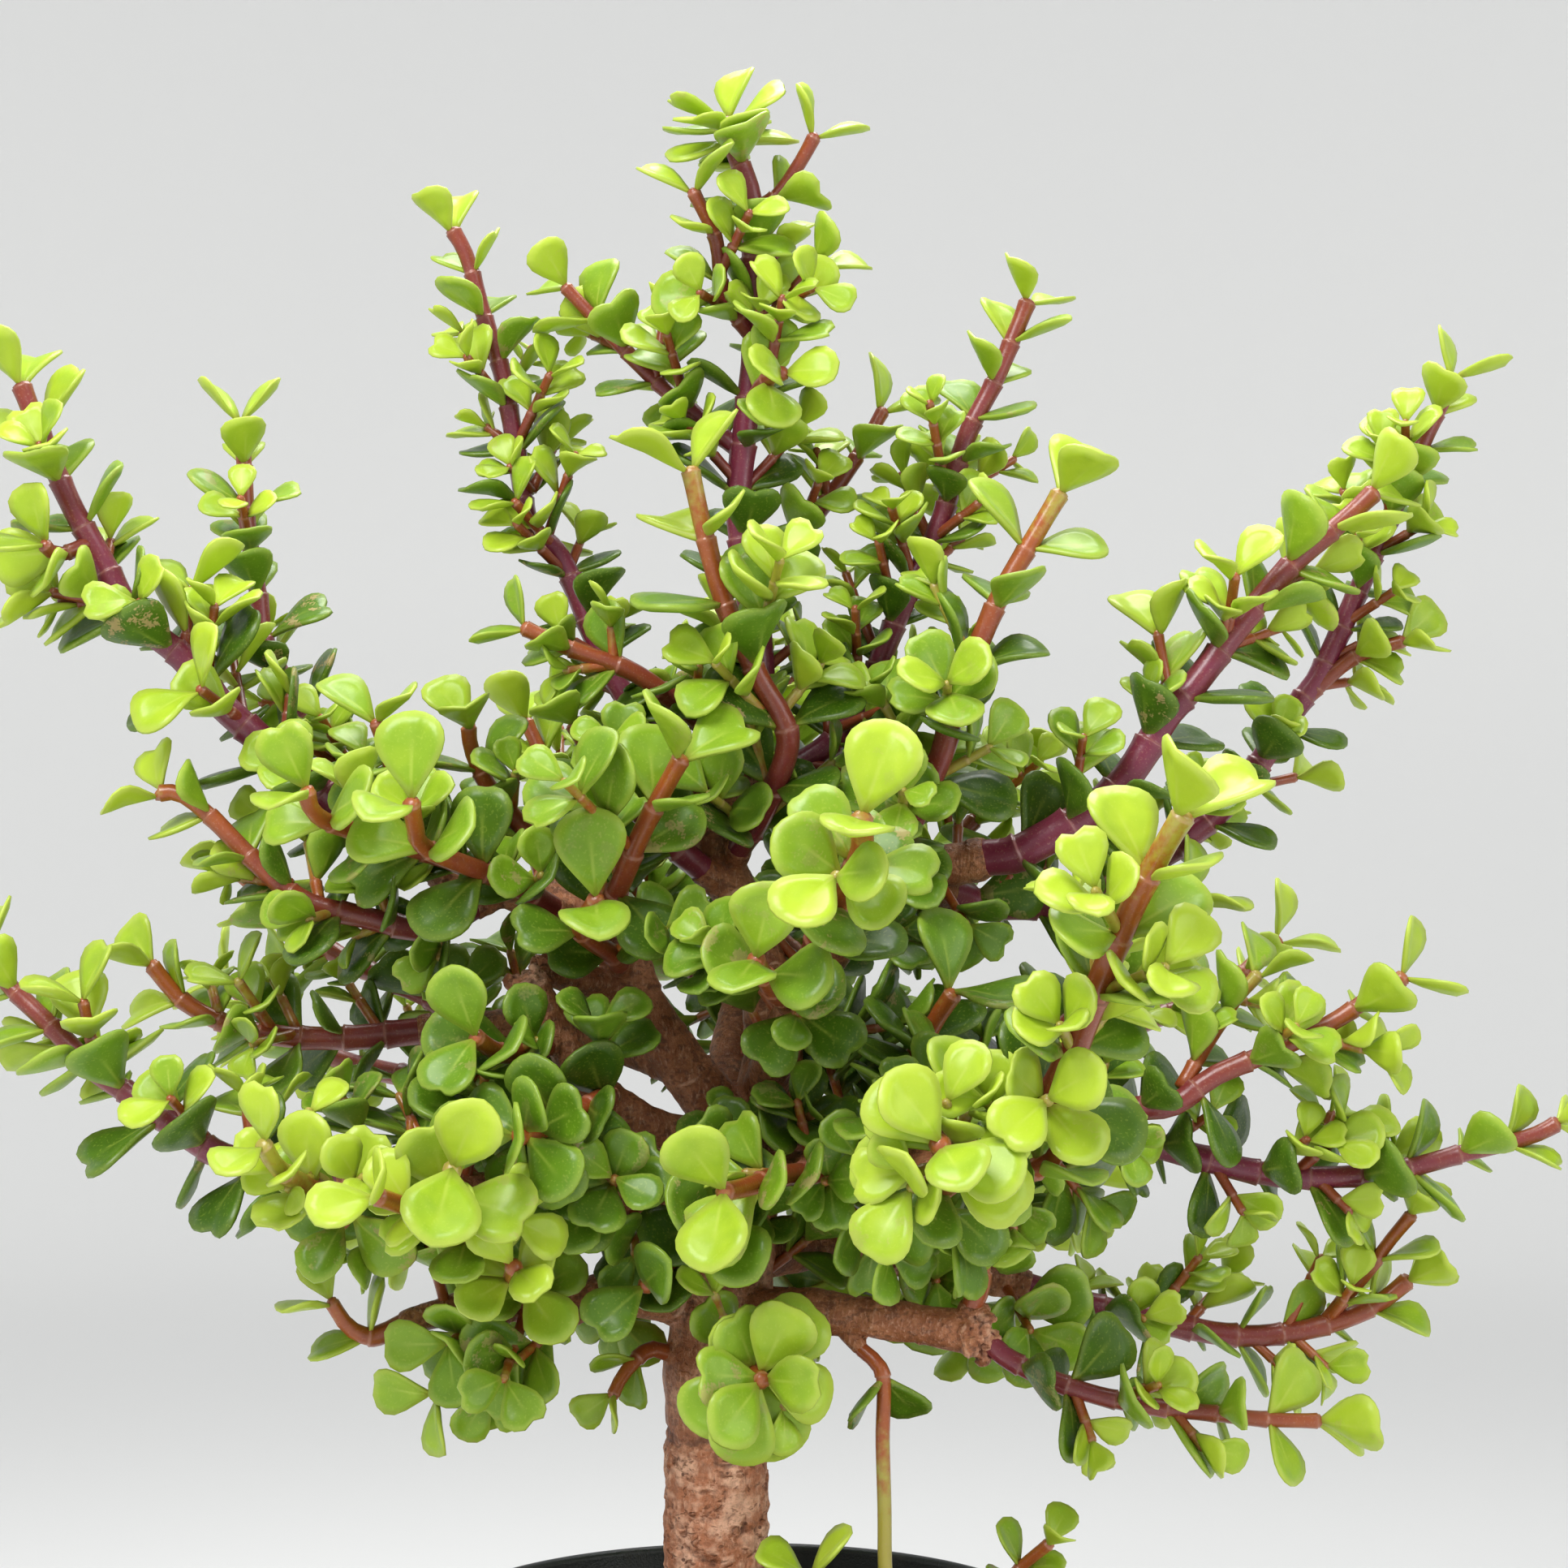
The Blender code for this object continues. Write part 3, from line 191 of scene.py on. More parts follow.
# Each limb: places as x, height over the rim, depth and radius
LIMBS = {
    "stump": [(-6.4, -44, 0, 13.0), (-6.4, -16, 0, 13.0), (-6.4, 0, 0, 13.3), (-6.4, 14, 0, 12.3),
        (-6.4, 35, 0, 12.4), (-6.2, 54, 0, 12.7), (-5.5, 68, 0, 13.2), (-4, 84, 1, 12.2), (-1, 98, 2, 11.2),
        (2, 110, 3, 10.6), (3, 121, 3, 9.0)],
    "left": [(1, 112, 3, 8), (-11, 126, 3, 7), (-20, 138, 2, 6.3), (-26, 148, 1, 6), (-29.5, 157, 0, 5.8),
        (-40, 167.5, -1, 5.5), (-55, 173, 0, 5), (-72, 178, 3, 4.4)],
    "upright": [(2, 112, 3, 8.5), (7, 130, 5, 7.5), (6, 150, 7, 6.8), (-1, 170, 8, 6.3), (-7, 188, 8, 5.8),
        (-4, 204, 8, 5.2), (2, 214, 8, 4.6)],
    "upper_right": [(6, 134, 5, 6.5), (16, 152, 8, 6), (27, 166, 10, 5.8), (40, 177, 10, 5.6),
        (56, 181, 8, 5.3)],
    "right": [(2, 104, 2, 6.5), (18, 108, 6, 6), (36, 112, 10, 5.6), (58, 115, 12, 5.2), (78, 115, 14, 4.4)],
    "right_back": [(-1, 84, 4, 6.5), (20, 87, 16, 6), (42, 84, 24, 5.2), (66, 78, 28, 4.4)],
    "lower_right": [(-2, 70, -3, 6.5), (14, 71, -12, 5.8), (32, 69.6, -16, 5.0), (46, 67.5, -18, 4.7),
        (58, 65.6, -18, 5.2)],
    "lower_left": [(-6, 70, 0, 6.5), (-18, 74, -3, 5.8), (-34, 75.6, -6, 5.0), (-45, 71.6, -7, 4.6),
        (-62, 73.5, -9, 4.0), (-80, 69, -11, 3.2)],
    "front": [(5, 124, 2, 6), (9, 136, -14, 5.4), (14, 148, -30, 4.8), (17, 155, -38, 4.2)],
    "front_right": [(2, 104, -2, 6.2), (18, 104, -20, 5.6), (38, 107, -40, 5), (58, 111, -56, 4.4)],
    "left_low": [(-2, 104, 0, 5.5), (-20, 100, -12, 5), (-45, 98, -22, 4.6), (-70, 101, -28, 4.2),
        (-95, 104, -32, 3.6)],
    "left_back": [(-14, 130, 4, 5.5), (-32, 137, 14, 5), (-55, 140, 20, 4.6), (-76, 139.6, 22, 4.0)],
    "sawn_high": [(-27, 149, 1, 4), (-38, 151.5, -5, 3.8), (-51, 154.6, -10, 3.6)],
    "sawn_low": [(-8, 112, -2, 5), (-24, 117, -9, 4.6), (-39, 127.6, -14, 4.3), (-47, 142, -16, 4.1),
        (-53, 152, -17, 3.9)],
    "back": [(-1, 108, 6, 6.5), (-4, 122, 24, 5.8), (-2, 140, 44, 5.2), (4, 158, 60, 4.4)],
    "back_left": [(-4, 96, 4, 6), (-20, 106, 24, 5.4), (-44, 116, 42, 4.8), (-66, 124, 56, 4.0)],
    "back_right": [(0, 98, 5, 6), (22, 108, 26, 5.4), (46, 120, 44, 4.8), (66, 130, 58, 4.0)],
}

# Each shoot: the limb it grows from and how far along it, its radius at the base and at the tip, its leaves'
# length, its places as x, height over the rim and depth, its side stems (how far along, then places), and
# its side twigs (how far along, turn about the stem in degrees, length)
Shoot = namedtuple("Shoot", "limb at radii leaf way sides twigs", defaults=((), ()))
SHOOTS = {
    "leader": Shoot("upright", 1.0, (4.2, 2.5), 16, [(4, 230, 8), (-1, 265.6, 8), (0, 285.6, 7),
        (3, 313.6, 6), (2, 331.6, 5), (2, 346.6, 4), (-2, 357.6, 4), (-5, 367, 4)],
        sides=[(0.62, [(-5, 322, 0), (-7, 336, -4), (-13, 349, -8)]),
        (0.84, [(8, 347, 4), (14, 355.6, 2), (18, 363, 0)]),
        (0.64, [(8, 318, 2), (14, 325, -2), (19, 330.6, -4)]),
        (0.43, [(-12, 292, 10), (-21, 299.6, 12), (-31, 309.6, 13), (-45, 324.6, 14)]),
        (0.19, [(9, 256, 14), (17, 265.6, 18), (27, 279.6, 20), (35, 293.6, 22)]),
        (0.50, [(5, 300, -6), (10, 302.6, -18)])]),
    "left_spire": Shoot("upright", 0.78, (3.4, 2.0), 14, [(-20, 207, 12), (-34, 230, 16), (-45, 255.6, 18),
        (-53, 264, 19), (-56, 279.6, 20), (-60, 301.6, 20), (-65, 317.6, 20), (-69, 331.6, 20),
        (-73, 339, 20)], twigs=[(0.42, 200, 15)]),
    "front_spire": Shoot("upright", 0.66, (3.3, 2.2), 19, [(5, 194, -14), (11, 211.6, -26), (3, 227.6, -30),
        (-5, 245.6, -33), (-10, 263.6, -36), (-13.4, 279, -38)]),
    "right_spire": Shoot("upright", 0.86, (3.6, 2.2), 14, [(14, 205, 14), (27, 216, 14), (39, 243.6, 12),
        (49, 265.6, 12), (55, 285.6, 12), (63, 301.6, 12), (71, 321, 12)], twigs=[(0.6, 330, 14)]),
    "right_inner": Shoot("upper_right", 0.62, (3.4, 2.2), 18, [(42, 192, -6), (49, 207.6, -16),
        (53, 221.6, -20), (63, 245.6, -22), (71, 259.6, -22), (79, 273, -22)]),
    "right_bough": Shoot("upper_right", 1.0, (5.0, 2.4), 17, [(69, 183.6, 4), (91, 197.6, 2),
        (105, 217.6, 2), (111, 224, 2), (123, 239.6, 4), (135, 253.6, 6), (149, 265.6, 8), (157, 273, 8)],
        twigs=[(0.44, 60, 16), (0.6, 110, 15), (0.74, 290, 14)]),
    "right_tower": Shoot("upper_right", 0.8, (4.4, 2.2), 15, [(62, 170, 28), (88, 174, 36), (118, 194, 36),
        (137, 219.6, 34), (143, 228, 34), (153, 249.6, 34), (161, 267.6, 34), (169, 285.6, 34),
        (177, 302, 34)],
        sides=[(0.55, [(149, 230, 32), (157, 233.6, 30), (164, 235.6, 28)])], twigs=[(0.42, 250, 16)]),
    "left_bough": Shoot("left", 1.0, (4.8, 2.4), 18, [(-90, 186, 4), (-104, 199, 2), (-115, 207.6, 0),
        (-129, 219.6, -2), (-139, 231.6, -2), (-151, 241.6, -4), (-159, 255.6, -4), (-167, 269.6, -6),
        (-175, 287.6, -6), (-180, 300, -6)],
        sides=[(0.73, [(-170, 257, -10), (-174, 260, -14)]), (0.10, [(-86, 200, -4), (-91, 216, -10)])],
        twigs=[(0.36, 30, 15), (0.5, 160, 16), (0.62, 320, 16)]),
    "left_tower": Shoot("left", 0.82, (3.4, 2.1), 15, [(-78, 186, 22), (-100, 206, 28), (-117, 231.6, 28),
        (-120, 245.6, 28), (-123, 263.6, 28), (-124, 277.6, 28), (-125, 291, 28)], twigs=[(0.3, 40, 15)]),
    "left_fan": Shoot("left", 0.86, (3.4, 2.0), 15, [(-77, 164, -8), (-95, 167.6, -12), (-109, 171.6, -12),
        (-121, 181.6, -12), (-131, 191.6, -12), (-139, 197.6, -12), (-145, 197.6, -12)],
        twigs=[(0.45, 180, 18)]),
    "left_rosette_a": Shoot("left", 0.66, (3.0, 2.0), 19, [(-58, 176, -22), (-78, 184, -40), (-81, 190, -48),
        (-82, 196, -54)]),
    "left_rosette_b": Shoot("left", 0.78, (3.0, 2.0), 18, [(-74, 182, -18), (-98, 189, -32),
        (-106, 193, -42), (-108, 199, -46)]),
    "left_rosette_c": Shoot("left", 0.72, (3.0, 1.9), 16, [(-52, 186, 10), (-62, 198, 8), (-67, 208, 4),
        (-68, 215, 2)]),
    "left_wing": Shoot("left_back", 1.0, (3.8, 2.0), 15, [(-97, 137.6, 20), (-113, 138, 18), (-127, 141, 16),
        (-138, 147, 14), (-146, 156, 12)], twigs=[(0.5, 90, 15)]),
    "left_wing_back": Shoot("left_back", 0.85, (3.2, 1.9), 16, [(-78, 148, 34), (-96, 156, 44),
        (-112, 166, 50), (-124, 178, 54)]),
    "left_sweep": Shoot("left_low", 1.0, (3.8, 2.0), 17, [(-112, 105, -32), (-125, 108, -32),
        (-133, 111.6, -32), (-147, 121.6, -30), (-159, 129.6, -28), (-169, 139.6, -26), (-179, 149, -24),
        (-187, 158, -22)], twigs=[(0.62, 100, 14)]),
    "yellow_rosette_a": Shoot("left_low", 0.9, (2.9, 2.0), 15, [(-98, 99, -44), (-107, 101.6, -56),
        (-114, 106, -66), (-118, 112, -72)]),
    "yellow_rosette_b": Shoot("left_low", 0.62, (3.0, 2.0), 15, [(-62, 88, -40), (-76, 94, -62),
        (-84, 97, -74), (-90, 99, -82)]),
    "yellow_rosette_c": Shoot("left_low", 0.74, (3.0, 2.0), 20, [(-72, 98, -44), (-73, 100, -60),
        (-71, 106, -72)]),
    "yellow_rosette_d": Shoot("lower_left", 0.62, (2.8, 1.9), 14, [(-52, 76, -24), (-56, 79, -42),
        (-56, 82, -56)]),
    "low_left_tip": Shoot("lower_left", 1.0, (2.9, 1.6), 15, [(-90, 65, -12), (-96, 67, -14),
        (-101, 74, -16)]),
    "low_left_hanger": Shoot("lower_left", 0.7, (2.4, 1.6), 15, [(-62, 62, -14), (-70, 57, -18),
        (-76, 50, -20)]),
    "low_left_sprig": Shoot("stump", 0.62, (2.2, 1.5), 11, [(-23, 62, -8), (-29, 56, -12), (-32, 50, -14)]),
    "left_heart": Shoot("sawn_low", 0.45, (3.0, 2.0), 18, [(-36, 122, -34), (-47, 116, -48),
        (-56, 113, -56)]),
    "left_mid": Shoot("sawn_low", 0.75, (3.0, 2.0), 18, [(-52, 134, -24), (-60, 134, -36), (-66, 138, -46)]),
    "centre_left": Shoot("left", 0.6, (3.2, 2.1), 19, [(-34, 168, -16), (-30, 176, -30), (-26, 186, -38),
        (-21, 196, -44), (-15, 207, -48)]),
    "centre_left_low": Shoot("left", 0.5, (2.8, 2.0), 19, [(-32, 158, -16), (-40, 164, -32),
        (-36, 172, -46)]),
    "mid_left_twig": Shoot("upright", 0.93, (2.9, 1.9), 14, [(-14, 218, 0), (-27, 227.6, -6),
        (-43, 233.6, -8), (-55, 239, -8)]),
    "dark_stub_shoot": Shoot("upright", 0.58, (3.6, 2.6), 15, [(-16, 184, -4), (-26, 194, -6),
        (-36, 206, -8), (-42, 216, -8)]),
    "front_bough": Shoot("front", 1.0, (4.0, 2.4), 20, [(19, 162, -48), (24, 173, -64), (29, 183, -78),
        (29, 192, -88)], twigs=[(0.6, 20, 15)]),
    "front_rosette": Shoot("front", 0.7, (3.0, 2.0), 18, [(8, 149, -42), (5, 153, -58), (3, 157, -70)]),
    "front_low_rosette": Shoot("front_right", 0.42, (3.0, 2.1), 19, [(10, 104, -44), (0, 101, -58),
        (-5, 100, -68)]),
    "right_front_bough": Shoot("front_right", 1.0, (3.8, 2.5), 19, [(67, 114, -66), (74, 122, -78),
        (80, 132, -86), (88, 152, -98), (97, 172, -108), (104, 185, -114), (109, 193, -118)],
        twigs=[(0.2, 20, 15), (0.45, 200, 14)]),
    "big_rosette": Shoot("front_right", 0.75, (3.2, 2.2), 19, [(50, 102, -66), (50, 106, -82),
        (48, 112, -96)], twigs=[(0.45, 10, 12), (0.5, 190, 12)]),
    "front_right_low": Shoot("front_right", 0.9, (2.8, 1.9), 17, [(66, 104, -56), (76, 108, -66),
        (80, 120, -62)]),
    "right_horizontal": Shoot("right", 1.0, (4.0, 2.0), 16, [(93, 113.6, 14), (111, 108.6, 14),
        (125, 105, 14), (137, 103.6, 14), (157, 104.6, 14), (177, 109.6, 14), (193, 113.6, 14),
        (200, 117, 14)], twigs=[(0.45, 90, 15)]),
    "right_climber": Shoot("right", 0.86, (3.4, 2.0), 16, [(92, 120, -4), (105, 121, -6), (115, 128, -6),
        (129, 134, -6), (145, 141.6, -6), (157, 149.6, -6), (163, 152.6, -6)],
        sides=[(0.35, [(115, 138, 0), (121, 147, 2), (127, 153.6, 2)])], twigs=[(0.55, 270, 14)]),
    "right_thicket": Shoot("right", 0.7, (3.4, 2.0), 17, [(66, 130, 20), (82, 143, 24), (98, 158, 26),
        (110, 172, 26)], twigs=[(0.5, 180, 15)]),
    "right_leaf_fan": Shoot("right", 0.45, (3.2, 2.1), 20, [(40, 128, -6), (46, 140, -14), (52, 149, -20)]),
    "lower_right_red": Shoot("lower_right", 1.0, (2.6, 1.7), 16, [(64, 60, -20), (74, 55, -22),
        (87, 50.6, -24), (100, 48, -26), (113, 46.6, -26), (127, 45, -26), (141, 44.6, -26)]),
    "lower_right_riser": Shoot("lower_right", 0.93, (2.8, 1.8), 12, [(58, 78, -20), (58, 88, -20),
        (57, 97, -20)]),
    "hanging_shoot": Shoot("lower_right", 0.42, (1.9, 1.7), 14, [(34, 56, -20), (34, 40, -20),
        (34.4, 24, -20), (34.6, 8, -20), (36, -6, -20)]),
    "right_low_bough": Shoot("right_back", 1.0, (4.0, 2.2), 15, [(82, 73, 28), (97, 69.6, 28),
        (117, 65.6, 28), (131, 65.6, 28), (145, 68.6, 28), (155, 73, 28), (163, 79, 28)],
        sides=[(0.76, [(152, 80, 24), (158, 88, 22), (164, 95, 20)])], twigs=[(0.4, 0, 15)]),
    "low_front_rosette": Shoot("stump", 0.66, (2.8, 2.0), 17, [(-2, 62, -24), (2, 57, -34), (5, 54, -42)]),
    "heart_leaves": Shoot("stump", 0.84, (2.8, 2.0), 20, [(-8, 94, -22), (-9, 92, -34), (-8, 93, -42)]),
    "dark_collar": Shoot("stump", 0.76, (2.6, 1.9), 18, [(-18, 82, -18), (-22, 79, -28), (-24, 77, -34)]),
    "soil_sprig": Shoot("soil", (58, -24, 4), (1.8, 1.5), 11, [(58, -8, 4), (61, 1, 2), (67, 9, 0),
        (75, 15.6, -4)]),
    "soil_clump": Shoot("soil", (20, -24, -24), (1.8, 1.5), 14, [(20, -8, -24), (18, 1, -26), (16, 8, -29)]),
    "back_centre": Shoot("back", 1.0, (3.8, 2.1), 16, [(10, 172, 70), (12, 190, 78), (10, 210, 84),
        (4, 232, 88), (0, 250, 88)], twigs=[(0.4, 180, 15)]),
    "back_high_left": Shoot("back", 0.78, (3.4, 2.0), 16, [(-16, 158, 62), (-30, 176, 72), (-44, 196, 78),
        (-54, 216, 82)]),
    "back_high_right": Shoot("back", 0.86, (3.4, 2.0), 16, [(20, 156, 68), (38, 172, 80), (56, 190, 88),
        (70, 206, 92)]),
    "back_left_low": Shoot("back_left", 1.0, (3.6, 2.0), 16, [(-82, 128, 66), (-98, 132, 76),
        (-114, 140, 84), (-128, 152, 90)], twigs=[(0.4, 270, 15)]),
    "back_left_drop": Shoot("back_left", 0.7, (3.2, 1.9), 16, [(-54, 108, 58), (-66, 98, 74), (-78, 92, 88),
        (-88, 92, 100)]),
    "back_right_low": Shoot("back_right", 1.0, (3.6, 2.0), 16, [(82, 136, 68), (100, 142, 78),
        (118, 150, 86), (132, 162, 90)], twigs=[(0.4, 90, 15)]),
    "back_right_drop": Shoot("back_right", 0.7, (3.2, 1.9), 16, [(58, 112, 62), (68, 104, 80), (78, 100, 94),
        (86, 102, 106)]),
}

# How yellow or how dark a shoot's leaves are, and how purple its stem is, where they stand out
LEAF_SHADE = {
    "yellow_rosette_a": -0.3, "yellow_rosette_b": -0.3, "yellow_rosette_c": -0.15, "yellow_rosette_d": -0.3,
    "left_rosette_a": -0.05, "left_rosette_b": -0.05, "front_low_rosette": -0.15, "front_bough": -0.1,
    "right_front_bough": -0.15, "big_rosette": -0.05, "heart_leaves": 0.3, "dark_collar": 0.45,
    "left_heart": 0.3, "left_mid": 0.2, "hanging_shoot": -0.1, "front_spire": -0.1, "leader": 0.05,
    "right_leaf_fan": 0.25, "front_right_low": 0.15, "low_left_hanger": 0.1,
}
STEM_HUE = {
    "leader": 1.0, "left_spire": 0.85, "right_spire": 0.8, "right_bough": 0.7, "left_bough": 0.95,
    "right_tower": 0.8, "left_tower": 0.6, "left_sweep": 0.75, "right_horizontal": 0.85,
    "right_low_bough": 0.5, "dark_stub_shoot": 0.9, "mid_left_twig": 0.4, "front_spire": 0.1,
    "right_inner": 0.1, "right_front_bough": 0.05, "front_bough": 0.2, "lower_right_red": 0.45,
    "right_climber": 0.3, "hanging_shoot": -0.4, "yellow_rosette_a": -0.1, "yellow_rosette_c": -0.1,
    "back_centre": 0.6, "back_high_left": 0.6, "back_high_right": 0.6, "left_wing": 0.3,
}
ORDINARY_HUE = 0.3


def front_view(x, height, depth):
    """A place given as the front view shows it, moved along its line of sight to its depth."""
    reach = (EYE_DISTANCE + depth) / EYE_DISTANCE
    return Vector((EYE_X + (x - EYE_X) * reach, depth, EYE_HEIGHT + (height - EYE_HEIGHT) * reach))


def smooth(points, step):
    """Places about a step apart on the smooth curve that runs through the given points."""
    ends = [points[0] * 2 - points[1]] + list(points) + [points[-1] * 2 - points[-2]]
    curve = [points[0]]
    for before, start, stop, after in zip(ends, ends[1:], ends[2:], ends[3:]):
        pieces = max(1, round((stop - start).length / step))
        for piece in range(1, pieces):
            t = piece / pieces
            curve.append(0.5 * ((2 * start) + (stop - before) * t
                                + (2 * before - 5 * start + 4 * stop - after) * t ** 2
                                + (3 * start - before - 3 * stop + after) * t ** 3))
        curve.append(stop)
    return curve


class Stem:
    """A stem's smooth path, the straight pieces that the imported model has, and its leaf pairs."""

    def __init__(self, points, radii, step):
        self.curve = smooth(points, CURVE_STEP)
        self.runs = [0.0]
        for start, stop in zip(self.curve, self.curve[1:]):
            self.runs.append(self.runs[-1] + (stop - start).length)
        first = self.runs[self.curve.index(points[1])]
        spans = max(1, round((self.runs[-1] - first) / step)) if len(points) > 2 else 0
        picks = [first + (self.runs[-1] - first) * span / spans for span in range(1, spans + 1)]
        self.radii = radii
        self.path = [points[0], points[1]] + [self.between(self.curve, self.runs, pick) for pick in picks]
        self.picks = [0.0, first] + picks
        self.marks = [0.0]
        for start, stop in zip(self.path, self.path[1:]):
            self.marks.append(self.marks[-1] + (stop - start).length)
        self.length = self.marks[-1]
        self.sides = [(self.path[1] - self.path[0]).orthogonal().normalized()]
        for start, stop in zip(self.path, self.path[1:]):
            way = (stop - start).normalized()
            side = self.sides[-1] - way * self.sides[-1].dot(way)
            self.sides.append(side.normalized())
        self.pairs = []

    @staticmethod
    def between(places, marks, distance):
        """The place at a distance along a line of places."""
        index = 0
        while index < len(marks) - 2 and marks[index + 1] < distance:
            index += 1
        t = (distance - marks[index]) / (marks[index + 1] - marks[index])
        return places[index].lerp(places[index + 1], t)

    def frame(self, distance):
        """The place, the direction and a direction to one side, at a distance along the path."""
        distance = min(max(distance, 0.0), self.length)
        index = 0
        while index < len(self.marks) - 2 and self.marks[index + 1] < distance:
            index += 1
        way = (self.path[index + 1] - self.path[index]).normalized()
        return self.between(self.path, self.marks, distance), way, self.sides[index + 1]

    def rounded(self, distance):
        """The place on the smooth path that stands for a distance along the straight pieces."""
        run = np.interp(distance, self.marks, self.picks)
        return self.between(self.curve, self.runs, run)

    def radius(self, distance):
        """The thickness there, even from the base to the tip or through the listed radii."""
        part = min(max(distance / self.length, 0.0), 1.0) * (len(self.radii) - 1)
        index = min(int(part), len(self.radii) - 2)
        return self.radii[index] + (self.radii[index + 1] - self.radii[index]) * (part - index)


def limb_stem(name):
    """A limb's path, with its listed radius at each listed place."""
    places = LIMBS[name]
    return Stem([front_view(*place[:3]) for place in places], [place[3] for place in places], LIMB_STEP)


def shoot_base(name, limbs):
    """Where a shoot's stem starts, its direction, and how far out the stub under it ends."""
    shoot = SHOOTS[name]
    first = front_view(*shoot.way[0])
    thick = shoot.radii[0]
    if shoot.limb == "soil":
        start = front_view(*shoot.at)
        return start, (first - start).normalized(), 0.0
    limb = limbs[shoot.limb]
    start, limb_way, _ = limb.frame(shoot.at * limb.length)
    way = (first - start).normalized()
    lean = min(abs(way.dot(limb_way)), MOST_LEAN)
    across = math.sqrt(1 - lean ** 2)
    if shoot.at == 1.0:
        return start, way, 2 * COLLAR_OUT + thick * across / lean
    around = limb.radius(shoot.at * limb.length)
    return start, way, (around + COLLAR_OUT + thick * lean) / across


def main_stem(name, limbs):
    """The stem of a shoot, from just past its stub to its tip."""
    start, way, out = shoot_base(name, limbs)
    shoot = SHOOTS[name]
    root = start + way * (out + GAP)
    return Stem([root] + [front_view(*place) for place in shoot.way], shoot.radii, STEM_STEP)


def side_stems(name, stem):
    """The side stems and twigs of a shoot, each with its own path."""
    shoot = SHOOTS[name]
    grown = []
    for part, way in shoot.sides:
        place, _, _ = stem.frame(part * stem.length)
        thick = stem.radius(part * stem.length) * SIDE_STEM_SHARE
        points = [place] + [front_view(*spot) for spot in way]
        grown.append(Stem(points, (thick, SIDE_TIP_RADIUS), STEM_STEP))
    for part, turn, reach in shoot.twigs:
        place, way, side = stem.frame(part * stem.length)
        out = Quaternion(way, math.radians(turn)) @ side
        thick = stem.radius(part * stem.length)
        aim = (out + way * TWIG_LEAN + Vector((0, 0, TWIG_LIFT))).normalized()
        tip = place + aim * (thick + reach)
        grown.append(Stem([place, tip], TWIG_RADII, STEM_STEP))
    return grown


def spread(run):
    """How wide a leaf is, from its foot at 0 to its tip at 1, as a share of half its width."""
    foot, swell, narrowing = LEAF_SPREAD
    return foot + swell * run + narrowing * run ** 2


def blade_point(around, across, under, leaf):
    """A place on the unit disc, and how far under it, shaped to a leaf: x runs from its root to its tip."""
    run = 0.5 - 0.5 * around
    x = leaf["length"] * run ** LEAF_EVENNESS
    y = across * spread(run) * leaf["width"] * 0.5
    lift = leaf["fold"] * abs(y) + leaf["bend"] * leaf["length"] * (x / leaf["length"]) ** 2
    return Vector((x, y, lift - under * leaf["thick"]))


def blade_skin(leaf):
    """A leaf's corners in place: its rim, and the middles of its upper face and its keel."""
    turns = [2 * math.pi * corner / LEAF_CORNERS for corner in range(LEAF_CORNERS)]
    points = [blade_point(math.cos(turn), math.sin(turn), 0.0, leaf) for turn in turns]
    points += [blade_point(0.0, 0.0, -LEAF_CROWN, leaf), blade_point(0.0, 0.0, 1.0, leaf)]
    return [leaf["place"] @ point for point in points]


# The triangles from a leaf's rim to the middles of its upper face and its keel
RIM_EDGES = [(corner, (corner + 1) % LEAF_CORNERS) for corner in range(LEAF_CORNERS)]
BLADE_FACES = [(start, stop, LEAF_CORNERS) for start, stop in RIM_EDGES]
BLADE_FACES += [(stop, start, LEAF_CORNERS + 1) for start, stop in RIM_EDGES]


def tube_skin(stem):
    """A stem's rings as a mesh that holds its whole round section."""
    points = []
    faces = []
    runs = [(stop - start).normalized() for start, stop in zip(stem.path, stem.path[1:])]
    ways = [runs[0]] + [before + after for before, after in zip(runs, runs[1:])] + [runs[-1]]
    side = runs[0].orthogonal().normalized()
    for ring, (place, way, mark) in enumerate(zip(stem.path, ways, stem.marks)):
        way = way.normalized()
        side = (side - way * side.dot(way)).normalized()
        for corner in range(STEM_SIDES):
            arm = Quaternion(way, 2 * math.pi * corner / STEM_SIDES) @ side
            points.append(place + arm * stem.radius(mark) / math.cos(math.pi / STEM_SIDES))
        if ring:
            for corner in range(STEM_SIDES):
                after = (corner + 1) % STEM_SIDES
                low = (ring - 1) * STEM_SIDES
                faces.append((low + corner, low + after, low + STEM_SIDES + after, low + STEM_SIDES + corner))
    return points, faces


class Crowd:
    """Everything placed so far, for a leaf to keep clear of."""

    def __init__(self):
        self.boxes = np.zeros((CROWD_ROOM, 6))
        self.items = []

    @staticmethod
    def reach(points):
        """The lowest and the highest corner of some points."""
        spots = np.array(points)
        return spots.min(axis=0), spots.max(axis=0)

    def add(self, points, faces, owner):
        """Takes in a shape, with the stem it belongs to, if any."""
        low, high = self.reach(points)
        self.boxes[len(self.items)] = (*low, *-high)
        self.items.append((BVHTree.FromPolygons(points, faces), owner))

    def blocked(self, points, faces, owner):
        """Whether a shape crosses anything that isn't its own stem."""
        low, high = self.reach(points)
        near = (self.boxes[:len(self.items)] <= (*high, *-low)).all(axis=1)
        tree = None
        for index in np.nonzero(near)[0]:
            other, other_owner = self.items[index]
            if other_owner is owner:
                continue
            tree = tree or BVHTree.FromPolygons(points, faces)
            if tree.overlap(other):
                return True
        return False


